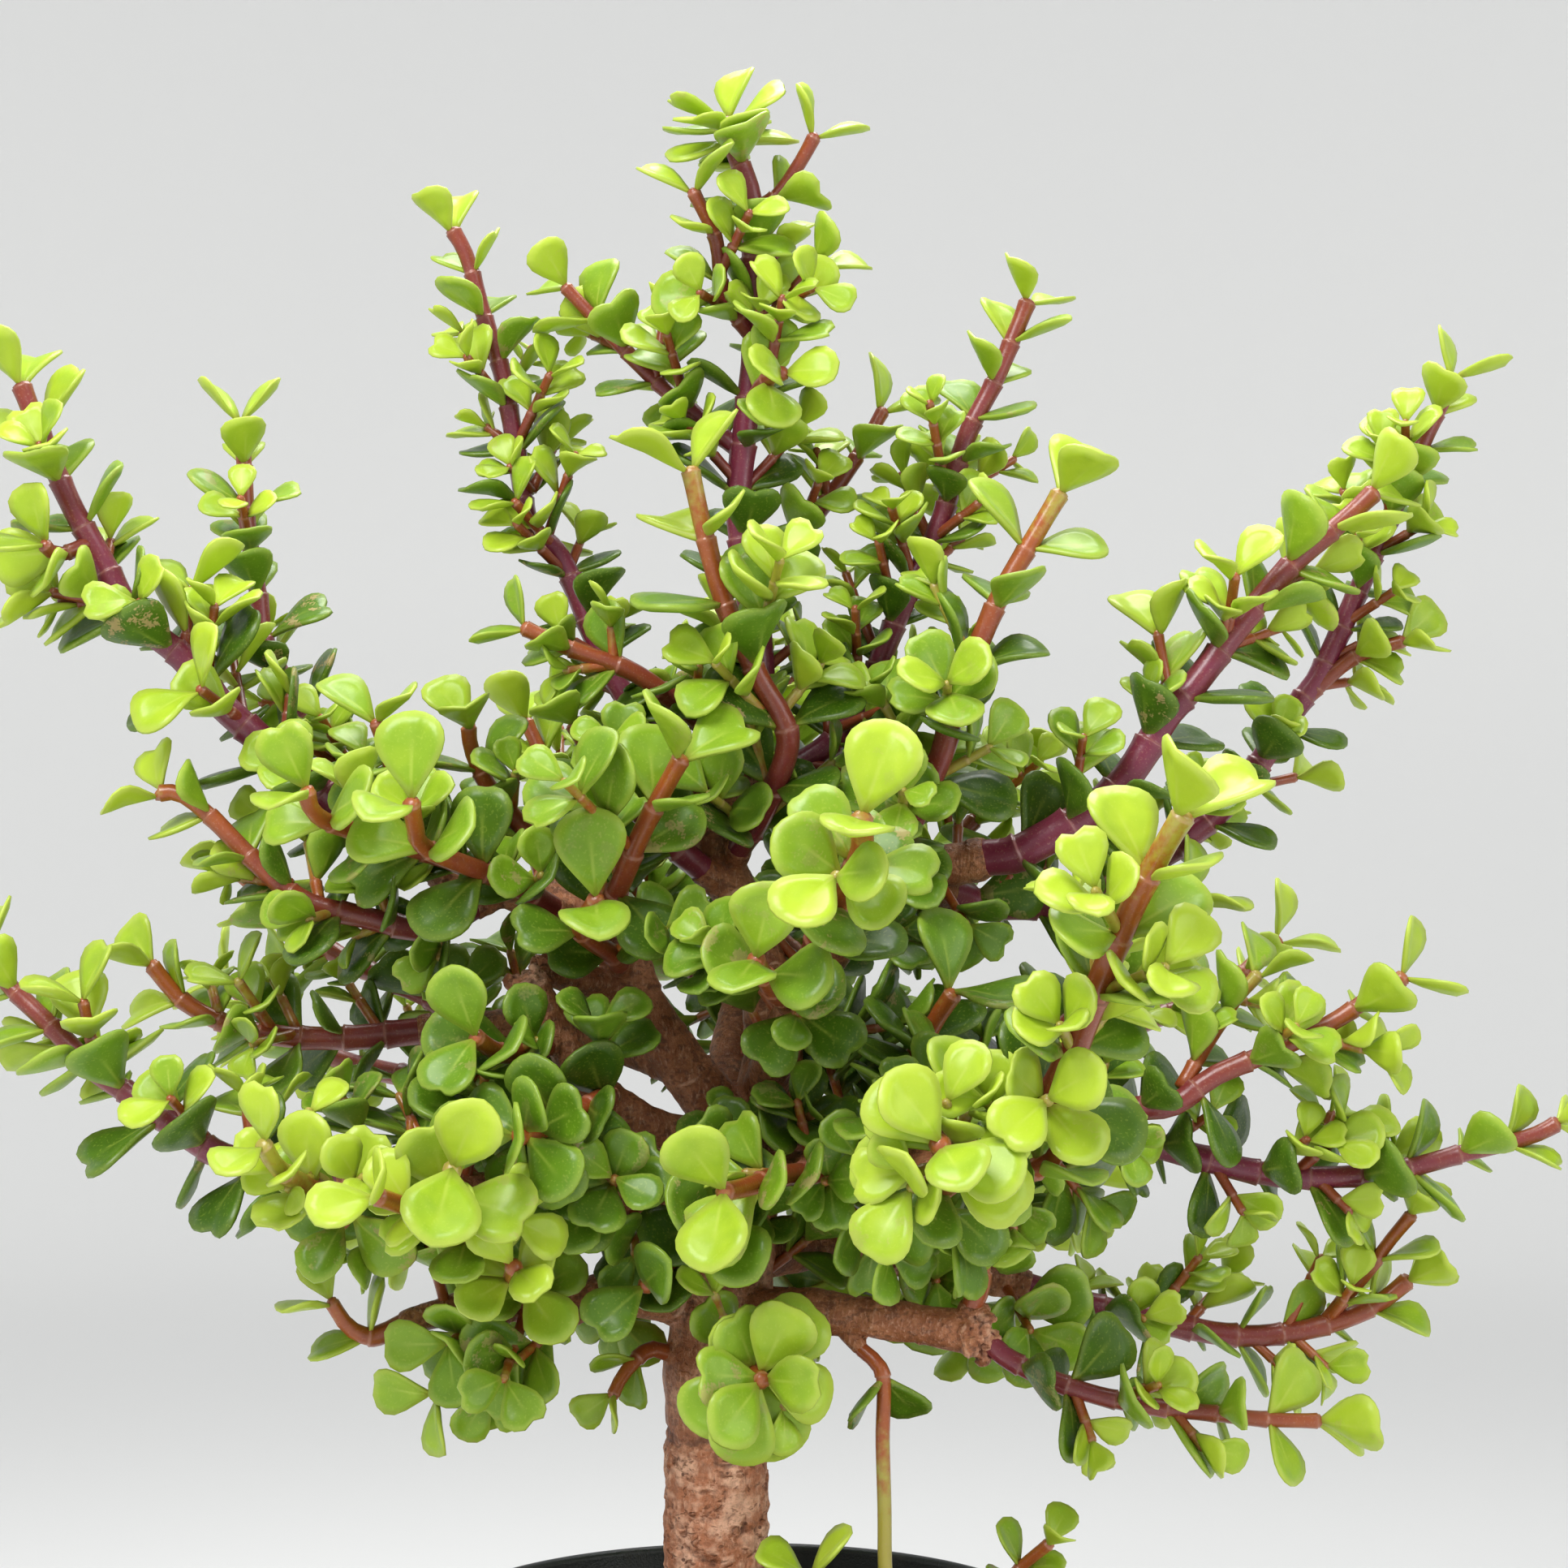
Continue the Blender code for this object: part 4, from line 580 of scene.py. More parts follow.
def leaf_on(stem, distance, turn, rise, size, fold, bend, light=LIGHT * TURN_TO_LIGHT):
    """A leaf on a stem, turned about it, raised towards its tip and facing the light."""
    place, way, side = stem.frame(distance)
    out = Quaternion(way, math.radians(turn)) @ side
    rise = math.radians(rise)
    along = out * math.cos(rise) + way * math.sin(rise)
    face = way * math.cos(rise) - out * math.sin(rise) + light
    face = (face - along * face.dot(along)).normalized()
    across = face.cross(along)
    root = place + out * stem.radius(distance) * ROOT_SUNK
    matrix = Matrix.Translation(root) @ Matrix((along, across, face)).transposed().to_4x4()
    return dict(length=size, width=size * LEAF_WIDTH, thick=max(THINNEST_LEAF, size * LEAF_THICKNESS),
                fold=fold, bend=bend, place=matrix, shift=stem.rounded(distance) - place,
                from_tip=stem.length - distance)


def meets_pot(points):
    """Whether any of the points lies in the soil or in the pot's wall."""
    for point in points:
        if point.z < SOIL_LUMP + GAP - SOIL_BELOW_RIM:
            return True
        if point.z < CLEAR_OF_RIM and math.hypot(point.x, point.y) > POT_NECK_RADIUS - 2 * POT_WALL:
            return True
    return False


def try_leaf(crowd, stem, distance, turn, rise, size, fold, bend, light=LIGHT * TURN_TO_LIGHT,
             swell=TESTED_SWELL, margin=TESTED_MARGIN):
    """The first of a few nearby ways to set a leaf that crosses nothing, or None."""
    for more_rise in RISES_TO_TRY:
        for more_turn in TURNS_TO_TRY:
            leaf = leaf_on(stem, distance, turn + more_turn, rise + more_rise, size, fold, bend, light)
            tested = dict(leaf)
            tested["length"] *= swell
            tested["width"] *= swell
            tested["thick"] += 2 * margin
            skin = blade_skin(tested)
            if not meets_pot(skin) and not crowd.blocked(skin, BLADE_FACES, stem):
                crowd.add(blade_skin(leaf), BLADE_FACES, None)
                return leaf
    return None


def leaf_shape(size, age, habit, draw):
    """A leaf's rise, length, fold and bend at that age, by its habit."""
    rise, fold, bend = (habit[part][0] + habit[part][1] * age for part in ("rise", "fold", "bend"))
    length = size * (1.0 + habit["growth"] * age) * draw.uniform(*habit["sizes"])
    rise += draw.uniform(-habit["rise_spread"], habit["rise_spread"])
    bend += draw.uniform(-habit["bend_spread"], habit["bend_spread"])
    return rise, length, fold, bend


def leaves_of(stem, size, bare, crowd, draw):
    """The pairs of leaves of a stem, each pair square to the next, the last one cupped upright."""
    leaves = []
    turn = draw.uniform(0, 360)
    room = stem.length - bare - TIP_LEAF_BACK
    pairs = max(1, round(room / PAIR_STEP))
    for pair in range(pairs + 1):
        distance = stem.length - TIP_LEAF_BACK - pair * room / pairs
        age = min(1.0, pair / PAIRS_TO_AGE)
        stem.pairs.append((distance, turn))
        for half in (0, 180):
            shape = leaf_shape(size, age, PACKED_HABIT, draw)
            place = turn + half + draw.uniform(-TURN_SPREAD, TURN_SPREAD)
            leaf = try_leaf(crowd, stem, distance, place, *shape)
            if leaf:
                leaves.append(leaf)
        turn += 90 + draw.uniform(-PAIR_TURN_SPREAD, PAIR_TURN_SPREAD)
    return leaves


def inside_box(points):
    """Whether every point, in millimetres over the rim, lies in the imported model's box."""
    low, high = Crowd.reach(points)
    low[2] += POT_HEIGHT
    high[2] += POT_HEIGHT
    return (low >= np.array(CAD_BOX[0]) / MM).all() and (high <= np.array(CAD_BOX[1]) / MM).all()


def keep_inside(leaf, leaves):
    """Keeps a leaf that there is room for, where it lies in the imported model's box."""
    if leaf and inside_box(blade_skin(leaf)):
        leaves.append(leaf)


def add_leaf(crowd, stem, distance, turn, size, draw, leaves):
    """One more leaf between the others, where there is room for it."""
    age = min(1.0, (stem.length - distance) / ADDED_TO_AGE)
    shape = leaf_shape(size, age, ADDED_HABIT, draw)
    light = FILLER_LIGHT * draw.uniform(*ADDED_LIGHT)
    keep_inside(try_leaf(crowd, stem, distance, turn, *shape, light, ADDED_SWELL, 0.0), leaves)


def pairs_between(stem, size, crowd, draw, leaves):
    """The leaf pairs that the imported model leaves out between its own."""
    kept = list(stem.pairs)
    for (above, turn), (below, _) in zip(kept, kept[1:]):
        if above - below < CLOSE_PAIRS:
            continue
        spans = round((above - below) / max(LEAST_SPACING, size * PAIR_SPACING))
        for number in range(1, spans):
            distance = above + (below - above) * number / spans
            turned = turn + 90 * number
            stem.pairs.append((distance, turned))
            for half in (0, 180):
                place = turned + half + draw.uniform(-ADDED_TURN_SPREAD, ADDED_TURN_SPREAD)
                add_leaf(crowd, stem, distance, place, size, draw, leaves)
    stem.pairs.sort(reverse=True)


def sprig_on(stem, distance, turn, reach, lean):
    """A short straight stem out of a leaf's foot."""
    place, way, side = stem.frame(distance)
    out = Quaternion(way, math.radians(turn)) @ side
    aim = (out + way * lean + Vector((0, 0, SPRIG_LIFT))).normalized()
    thick = stem.radius(distance)
    return Stem([place, place + aim * (thick + reach)], SPRIG_RADII, STEM_STEP)


def dress_sprig(sprig, size, foot, crowd, draw):
    """The close leaf pairs of a short sprig, which joins the crowd if it has any."""
    leaves = []
    turn = draw.uniform(0, 360)
    room = sprig.length - foot
    pairs = max(1, round(room / SPRIG_PAIR_STEP))
    for pair in range(pairs + 1):
        distance = sprig.length - SPRIG_TIP_BACK - pair * room / (pairs + 1)
        sprig.pairs.append((distance, turn))
        for half in (0, 180):
            grown = size * (SPRIG_TIP_SHARE + SPRIG_GAIN * min(pair, SPRIG_GAINS))
            place = turn + half + draw.uniform(-PAIR_TURN_SPREAD, PAIR_TURN_SPREAD)
            add_leaf(crowd, sprig, distance, place, grown, draw, leaves)
        turn += 90 + draw.uniform(-PAIR_TURN_SPREAD, PAIR_TURN_SPREAD)
    if leaves:
        crowd.add(*tube_skin(sprig), sprig)
    return leaves


def sprigs_of(stem, clear, size, bushy, crowd, draw, leaves):
    """The short side sprigs that stand in the feet of a stem's older leaves, clear of its tip."""
    chance, more = (BUSHY_CHANCE, BUSHY_REACH) if bushy else (SPRIG_CHANCE, 0.0)
    grown = []
    for distance, turn in stem.pairs:
        if stem.length - distance < clear:
            continue
        for half in (0, 180):
            if draw.random() > chance:
                continue
            reach = draw.uniform(*SPRIG_REACH) + more
            place = turn + half + draw.uniform(-SPRIG_TURN_SPREAD, SPRIG_TURN_SPREAD)
            sprig = sprig_on(stem, distance + SPRIG_ABOVE_LEAF, place, reach, SPRIG_LEAN)
            if not inside_box(sprig.path):
                continue
            bare = stem.radius(distance) + SPRIG_BARE_FOOT
            found = dress_sprig(sprig, size * draw.uniform(*SPRIG_SIZES), bare, crowd, draw)
            if found:
                grown.append(sprig)
                leaves += found
    return grown


def rosette(stem, size, crowd, draw, leaves):
    """Whorls of wide open leaves under a stem's tip."""
    turn = stem.pairs[0][1]
    for back, turned, rise in WHORLS:
        for number in range(WHORL_LEAVES):
            place = turn + turned + 360 / WHORL_LEAVES * number
            place += draw.uniform(-WHORL_TURN_SPREAD, WHORL_TURN_SPREAD)
            length = size * draw.uniform(*WHORL_SIZES)
            risen = rise + draw.uniform(-WHORL_RISE_SPREAD, WHORL_RISE_SPREAD)
            leaf = try_leaf(crowd, stem, stem.length - back, place, risen, length, WHORL_FOLD, WHORL_BEND,
                            FILLER_LIGHT, WHORL_SWELL, 0.0)
            keep_inside(leaf, leaves)


def limb_sprigs(name, limb, crowd):
    """The short sprigs that stand along a limb's upper part, and their leaves."""
    draw = random.Random(name + " sprigs")
    stems = []
    leaves = []
    distance = limb.length * (TALL_SPRIGS_FROM if name in TALL_LIMBS else SPRIGS_FROM)
    while distance < limb.length - LIMB_SPRIGS_END:
        turn = draw.uniform(0, 360)
        reach = draw.uniform(*LIMB_SPRIG_REACH)
        sprig = sprig_on(limb, distance, turn, reach, draw.uniform(*LIMB_SPRIG_LEAN))
        if inside_box(sprig.path):
            bare = limb.radius(distance) + LIMB_SPRIG_BARE_FOOT
            found = dress_sprig(sprig, draw.uniform(*LIMB_SPRIG_LEAVES), bare, crowd, draw)
            if found:
                stems.append(sprig)
                leaves += found
        distance += LIMB_SPRIG_STEP * draw.uniform(*LIMB_SPRIG_STEPS)
    return stems, leaves


def grow():
    """Every limb, every shoot's stems and leaves, then what fills the room between them."""
    limbs = {name: limb_stem(name) for name in LIMBS}
    crowd = Crowd()
    for limb in limbs.values():
        crowd.add(*tube_skin(limb), limb)
    shoots = {}
    for name in SHOOTS:
        stem = main_stem(name, limbs)
        shoots[name] = [stem] + side_stems(name, stem)
        for each in shoots[name]:
            crowd.add(*tube_skin(each), each)
    leaves = {}
    for name, stems in shoots.items():
        draw = random.Random(name)
        size = SHOOTS[name].leaf
        leaves[name] = []
        for number, stem in enumerate(stems):
            bare = BARE_SIDE_FOOT if number else BARE_FOOT
            grown = size * SIDE_LEAF_SHARE if number else size
            leaves[name] += leaves_of(stem, grown, bare, crowd, draw)
    for name, size in ROSETTES.items():
        rosette(shoots[name][0], size, crowd, random.Random(name + " rosette"), leaves[name])
    full = {name: stems for name, stems in shoots.items() if name not in SPARSE_SHOOTS}
    for name, stems in full.items():
        draw = random.Random(name + " between")
        for stem in stems:
            pairs_between(stem, SHOOTS[name].leaf, crowd, draw, leaves[name])
    for name, stems in full.items():
        draw = random.Random(name + " sprigs")
        for stem in list(stems):
            clear = stem.length * OPEN_SHARE if name in OPEN_SHOOTS else SPRIG_FROM_TIP
            bushy = name in BUSHY_SHOOTS
            stems += sprigs_of(stem, clear, SHOOTS[name].leaf, bushy, crowd, draw, leaves[name])
    inner = [limb_sprigs(name, limb, crowd) for name, limb in limbs.items() if name not in BARE_LIMBS]
    return limbs, shoots, leaves, inner


class Value:
    """A socket of a material's node, on which ordinary arithmetic adds Math nodes."""

    def __init__(self, paint, socket):
        self.paint = paint
        self.socket = socket

    def maths(self, operation, first, second):
        return self.paint.node("ShaderNodeMath", {"operation": operation}, {0: first, 1: second})

    def __add__(self, other):
        return self.maths("ADD", self, other)

    def __radd__(self, other):
        return self.maths("ADD", other, self)

    def __sub__(self, other):
        return self.maths("SUBTRACT", self, other)

    def __rsub__(self, other):
        return self.maths("SUBTRACT", other, self)

    def __mul__(self, other):
        return self.maths("MULTIPLY", self, other)

    def size(self):
        """The value without its sign."""
        return self.maths("ABSOLUTE", self, 0.0)

    def rise(self, low, high):
        """0 below the low value and 1 above the high one, with a soft slope between them."""
        limits = {"Value": self, "From Min": low, "From Max": high}
        return self.paint.node("ShaderNodeMapRange", {"interpolation_type": "SMOOTHSTEP"}, limits)


class Paint:
    """A material, and the nodes that give its colour and its relief."""

    def __init__(self, name, **constants):
        self.material = bpy.data.materials.new(name)
        self.material.use_nodes = True
        self.tree = self.material.node_tree
        self.shader = self.tree.nodes["Principled BSDF"]
        for socket, value in constants.items():
            self.shader.inputs[socket.replace("_", " ")].default_value = value

    def node(self, kind, settings, inputs, output=0):
        """One more node: its settings, the values or links of its sockets, and the output that is used."""
        made = self.tree.nodes.new(kind)
        stops = settings.pop("stops", None)
        for name, value in settings.items():
            setattr(made, name, value)
        if stops:
            ramp = made.color_ramp
            while len(ramp.elements) < len(stops):
                ramp.elements.new(0.5)
            for element, (place, colour) in zip(ramp.elements, stops):
                element.position = place
                element.color = (*colour, 1.0)
        for name, value in inputs.items():
            self.feed(made.inputs[name], value)
        return Value(self, made.outputs[output])

    def feed(self, socket, value):
        """Links a value to a socket, or sets it there."""
        if isinstance(value, Value):
            self.tree.links.new(value.socket, socket)
        else:
            socket.default_value = value

    def attribute(self, name):
        """The three values of a vector that is stored on the mesh."""
        stored = self.node("ShaderNodeAttribute", {"attribute_name": name}, {}, "Vector")
        parts = self.node("ShaderNodeSeparateXYZ", {}, {"Vector": stored})
        outputs = parts.socket.node.outputs
        return [Value(self, outputs[part]) for part in ("X", "Y", "Z")]

    def place(self, flatness=1.0):
        """The place on the piece in millimetres, for patterns made flatter or, under 1, upright."""
        where = self.node("ShaderNodeTexCoord", {}, {}, "Object")
        scale = (1.0 / MM, 1.0 / MM, flatness / MM)
        return self.node("ShaderNodeMapping", {}, {"Vector": where, "Scale": scale})

    def noise(self, where, period, detail=2.0, roughness=0.5):
        """Soft random patches, each about a period long."""
        return self.node("ShaderNodeTexNoise", {}, {"Vector": where, "Scale": 1.0 / period,
                                                    "Detail": detail, "Roughness": roughness})

    def mix(self, factor, one, two):
        """Two colours mixed: a Mix node takes them at its inputs 6 and 7, and gives its own at output 2."""
        one, two = [colour if isinstance(colour, Value) else (*colour, 1.0) for colour in (one, two)]
        return self.node("ShaderNodeMix", {"data_type": "RGBA"}, {0: factor, 6: one, 7: two}, 2)

    def layers(self, under, coats):
        """A colour under coats of others, each a strength and a colour."""
        for strength, colour in coats:
            under = self.mix(strength, under, colour)
        return under

    def relief(self, height, depth):
        """A fine relief of the given depth in millimetres."""
        bumped = self.node("ShaderNodeBump", {}, {"Height": height, "Distance": depth * MM}, "Normal")
        self.feed(self.shader.inputs["Normal"], bumped)

    def colour(self, value):
        """The colour of the skin."""
        self.feed(self.shader.inputs["Base Color"], value)

    def roughness(self, value):
        """How dull the skin is."""
        self.feed(self.shader.inputs["Roughness"], value)


# The painted patterns: their sizes in millimetres, and the slopes on which they rise from none to full
LEAF_CLOUDS = 5.0
LEAF_PORES = 0.6
# The pale rim is partly the leaf's own paler edge, partly a painted highlight on its rounded rim
LEAF_RIM_AND_HIGHLIGHT = (0.7, 1.0)
MIDRIB_SIDE = (0.0, 0.14)
MIDRIB_END = (0.3, 0.75)
LEAF_FOOT = (0.02, 0.14)
DRY_SPOTS = (0.74, 0.82)
PALE_PORES = (0.6, 0.8)
STEM_STREAKS = 2.6
STEM_FLECKS = 0.6
PALE_FLECKS = (0.58, 0.72)
BARK_PATCHES = 8.0
BARK_BLOTCHES = 3.2
BARK_GRAIN = 0.8
BARK_LINES = 4.6
BARK_CELLS = 3.6
FLAT_BLOTCHES = 1.7
UPRIGHT_GRAIN = 0.4
FLAT_LINES = 1.6
LINE_WIDTH = (0.0, 0.07)
LINED_BLOTCHES = (0.46, 0.6)
HOLE_SIDE = (0.1, 0.16)
HOLED_PATCHES = (0.46, 0.56)
PALE_PATCHES = (0.44, 0.66)
PINK_PATCHES = (0.36, 0.66)
RED_BLOTCHES = (0.52, 0.62)
DARK_BLOTCHES = (0.38, 0.5)
PALE_GRAIN = (0.5, 0.75)
CREVICE_SIDE = (0.1, 0.55)
# Pale on the highest skin: partly weathered flake colour, partly a painted highlight on the raised tops
RAISED_SKIN_PALE_AND_HIGHLIGHT = (0.85, 1.1)
CRUMBS = 1.2
DAMP_PATCHES = 14.0
BROWN_CRUMBS = (0.35, 0.7)
DAMP = (0.4, 0.7)
PLASTIC_GRAIN = 0.5
SMEARS = 11.0
UPRIGHT_SMEARS = 0.25
DUSTY_FOOT = 18.0
DUSTY_SMEARS = (0.45, 0.75)
GLOW_REACH = (500.0, 2100.0)


def leaf_paint(settings):
    """Waxy leaf green: yellow at the tips, deep green when old, with a pale rim that is partly a painted
    highlight, and an underside painted paler as painted light standing in for light through the thick leaf.
    """
    paint = Paint("leaf", Coat_Weight=0.22, Coat_Roughness=0.2, Specular_IOR_Level=0.3)
    along, across, rim = paint.attribute("blade")
    age, chance, scar = paint.attribute("tone")
    under, _, _ = paint.attribute("under")
    where = paint.place()
    cloud = paint.noise(where, LEAF_CLOUDS, 1.0)
    pores = paint.noise(where, LEAF_PORES, 0.0)
    midrib = (1.0 - across.size().rise(*MIDRIB_SIDE)) * (1.0 - along.rise(*MIDRIB_END))
    foot = 1.0 - along.rise(*LEAF_FOOT)
    spots = (cloud + pores * 0.3).rise(*DRY_SPOTS) * scar
    # The underside is painted younger and paler: painted light standing in for light shining through the leaf
    ageing = age + (cloud - 0.5) * 0.24 + (chance - 0.5) * 0.12 - under * 0.12
    stops = [(0.0, settings.young), (0.25, settings.fresh), (0.58, settings.grown), (1.0, settings.dark)]
    body = paint.node("ShaderNodeValToRGB", {"stops": stops}, {"Fac": ageing})
    paint.colour(paint.layers(body, (
        # Pale rim: partly the leaf's own edge colour, partly a painted highlight on its rounded rim
        (rim.rise(*LEAF_RIM_AND_HIGHLIGHT) * (0.6 - age * 0.5), settings.rim),
        (midrib * (0.42 - age * 0.2), settings.rim),
        (foot * 0.5, settings.foot),
        (spots * 0.85, settings.scar),
        (pores.rise(*PALE_PORES) * 0.16, settings.rim))))
    paint.roughness(0.34 + cloud * 0.16 + under * 0.12 + spots * 0.3)
    paint.relief(cloud, 0.35)
    return paint.material


def stem_paint(settings):
    """Glossy stem skin, gold-green at the tip, then orange, red and purple, ringed at each joint."""
    paint = Paint("stem", Coat_Weight=0.35, Coat_Roughness=0.22, Specular_IOR_Level=0.45)
    age, joint, hue = paint.attribute("growth")
    where = paint.place()
    streak = paint.noise(where, STEM_STREAKS, 3.0)
    fleck = paint.noise(where, STEM_FLECKS, 2.0)
    depth = age * 0.7 + hue * 0.46 + (streak - 0.5) * 0.3
    stops = [(0.0, settings.tip), (0.13, settings.orange), (0.45, settings.red), (0.8, settings.purple)]
    skin = paint.node("ShaderNodeValToRGB", {"stops": stops}, {"Fac": depth})
    paint.colour(paint.layers(skin, (
        (joint * 0.32, settings.ring),
        (fleck.rise(*PALE_FLECKS) * 0.25, settings.ring))))
    paint.roughness(0.26 + streak * 0.2)
    paint.relief(fleck * 0.5 + streak, 0.12)
    return paint.material


def bark_paint(settings):
    """Tan and pink bark: flaking and creviced on the thick trunk, smoother and redder on the limbs, paler on
    its raised tops, partly as a painted highlight.
    """
    paint = Paint("bark", Specular_IOR_Level=0.4)
    girth, height, pit = paint.attribute("wood")
    where = paint.place()
    patch = paint.noise(where, BARK_PATCHES, 5.0, 0.62)
    blotch = paint.noise(paint.place(FLAT_BLOTCHES), BARK_BLOTCHES, 4.0, 0.6)
    grain = paint.noise(paint.place(UPRIGHT_GRAIN), BARK_GRAIN, 4.0, 0.65)
    line = (paint.noise(paint.place(FLAT_LINES), BARK_LINES, 1.0, 0.5) - 0.5).size().rise(*LINE_WIDTH)
    crack = 1.0 - (1.0 - line) * blotch.rise(*LINED_BLOTCHES)
    cell = paint.node("ShaderNodeTexVoronoi", {}, {"Vector": where, "Scale": 1.0 / BARK_CELLS}, "Distance")
    hole = (1.0 - cell.rise(*HOLE_SIDE)) * patch.rise(*HOLED_PATCHES) * (0.35 + girth * 0.65)
    bark = paint.mix(patch.rise(*PALE_PATCHES), settings.bark, settings.pale)
    skin = paint.mix(patch.rise(*PINK_PATCHES), settings.limb, settings.pink)
    paint.colour(paint.layers(paint.mix(girth, skin, bark), (
        (blotch.rise(*RED_BLOTCHES) * (0.45 + girth * 0.25), settings.limb),
        ((1.0 - blotch.rise(*DARK_BLOTCHES)) * (0.6 - girth * 0.3), settings.crevice),
        (grain.rise(*PALE_GRAIN) * 0.5, settings.pale),
        ((1.0 - height.rise(*CREVICE_SIDE)) * (0.55 + girth * 0.25), settings.crevice),
        ((1.0 - crack) * (0.3 + girth * 0.2), settings.crevice),
        # The highest skin, on flake tops, rings and lumps, painted pale: partly weathered colour, partly
        # painted highlight
        (height.rise(*RAISED_SKIN_PALE_AND_HIGHLIGHT) * 0.6, settings.pale),
        (pit * 0.9, settings.crevice),
        (hole * 0.85, settings.crevice))))
    paint.roughness(0.42 + girth * 0.2 + (grain - 0.5) * 0.25)
    paint.relief(grain + blotch * 0.6 + crack * (0.2 + girth * 0.3), 0.5)
    return paint.material


def soil_paint(settings):
    """Dark potting mix, browner and paler on its bits of bark and grit."""
    paint = Paint("soil", Specular_IOR_Level=0.25)
    _, chance, pale = paint.attribute("grain")
    where = paint.place()
    crumb = paint.noise(where, CRUMBS, 4.0, 0.7)
    damp = paint.noise(where, DAMP_PATCHES, 2.0)
    earth = paint.mix(crumb.rise(*BROWN_CRUMBS), settings.dark, settings.brown)
    paint.colour(paint.layers(earth, (
        (chance * 0.5, settings.brown),
        (pale, settings.grit),
        (damp.rise(*DAMP) * 0.35, settings.dark))))
    paint.roughness(0.78 + crumb * 0.2)
    paint.relief(crumb, 0.8)
    return paint.material


def pot_paint(settings):
    """Satin black plastic with a soft moulded grain, a little dusty at the rim and the foot."""
    paint = Paint("pot", Specular_IOR_Level=0.5)
    where = paint.place()
    grain = paint.noise(where, PLASTIC_GRAIN, 2.0)
    smear = paint.noise(paint.place(UPRIGHT_SMEARS), SMEARS, 4.0, 0.6)
    height = paint.node("ShaderNodeSeparateXYZ", {}, {"Vector": where}, "Z")
    rim = height.rise(POT_HEIGHT - RIM_BAND, POT_HEIGHT)
    foot = 1.0 - height.rise(0.0, DUSTY_FOOT)
    dust = smear.rise(*DUSTY_SMEARS) * (0.12 + rim * 0.2 + foot * 0.25)
    paint.colour(paint.mix(dust, settings.plastic, settings.dust))
    paint.roughness(0.34 + dust * 0.9 + grain * 0.08)
    paint.relief(grain, 0.12)
    return paint.material


def stage_paint(settings):
    """Plain pale paper, lit evenly far away, where the lamps don't reach."""
    paint = Paint("stage", Roughness=0.85, Specular_IOR_Level=0.2, Emission_Strength=1.0)
    paint.shader.inputs["Base Color"].default_value = (*settings.paper, 1.0)
    where = paint.place()
    flat = paint.node("ShaderNodeVectorMath", {"operation": "MULTIPLY"}, {0: where, 1: (1.0, 1.0, 0.0)})
    reach = paint.node("ShaderNodeVectorMath", {"operation": "LENGTH"}, {0: flat}, "Value")
    far = paint.mix(reach.rise(*GLOW_REACH), (0.0, 0.0, 0.0), settings.glow)
    paint.feed(paint.shader.inputs["Emission Color"], far)
    paint.material.cycles.emission_sampling = "NONE"
    return paint.material


def colour_prop(name, description, default):
    """A colour that a user can change."""
    return bpy.props.FloatVectorProperty(name=name, description=description, subtype="COLOR", size=3,
                                         min=0.0, max=1.0, default=default)


def number_prop(name, description, default, least=0.0, **kind):
    """A number that a user can change, with its unit or its subtype."""
    return bpy.props.FloatProperty(name=name, description=description, default=default, min=least, **kind)


class PotSettings(bpy.types.PropertyGroup):
    plastic: colour_prop("Plastic", "The pot's own colour", (0.008, 0.013, 0.011))
    dust: colour_prop("Dust", "The dust that lies on the plastic", (0.11, 0.1, 0.085))
    turns: bpy.props.IntProperty(name="Turns", description="Steps round the pot", default=128, min=24)


class SoilSettings(bpy.types.PropertyGroup):
    dark: colour_prop("Dark", "The damp mix between the bits", (0.012, 0.008, 0.006))
    brown: colour_prop("Brown", "The bits of bark", (0.09, 0.045, 0.022))
    grit: colour_prop("Grit", "The pale bits of grit", (0.42, 0.38, 0.32))
    bits: bpy.props.IntProperty(name="Bits", description="Bits of bark and grit on top", default=420, min=0)
    bit_size: number_prop("Bit size", "Length of a middling bit", 0.0042, 0.001, unit="LENGTH")


class BarkSettings(bpy.types.PropertyGroup):
    bark: colour_prop("Bark", "The thick trunk's bark", (0.5, 0.19, 0.09))
    # Pale is also laid on the highest skin, there partly a painted highlight on raised tops
    pale: colour_prop("Pale", "Weathered flakes", (0.88, 0.51, 0.34))
    limb: colour_prop("Limb", "The limbs' smoother skin", (0.26, 0.08, 0.026))
    pink: colour_prop("Pink", "Fresher patches on the limbs", (0.5, 0.2, 0.09))
    crevice: colour_prop("Crevice", "Deep between the flakes", (0.075, 0.022, 0.01))
    flake_depth: number_prop("Flake depth", "Depth of the trunk's flakes", 0.0014, unit="LENGTH")
    fineness: number_prop("Fineness", "Size of the bark's mesh faces", 0.0009, 0.0005, unit="LENGTH")


class StemSettings(bpy.types.PropertyGroup):
    tip: colour_prop("Tip", "The youngest skin", (0.4, 0.34, 0.05))
    orange: colour_prop("Orange", "Young skin", (0.36, 0.085, 0.012))
    red: colour_prop("Red", "Older skin", (0.23, 0.034, 0.02))
    purple: colour_prop("Purple", "The darkest skin", (0.19, 0.018, 0.05))
    ring: colour_prop("Ring", "The pale ring at each joint", (0.48, 0.26, 0.18))
    swell: number_prop("Swell", "How much each joint swells", 0.12, max=0.5, subtype="FACTOR")


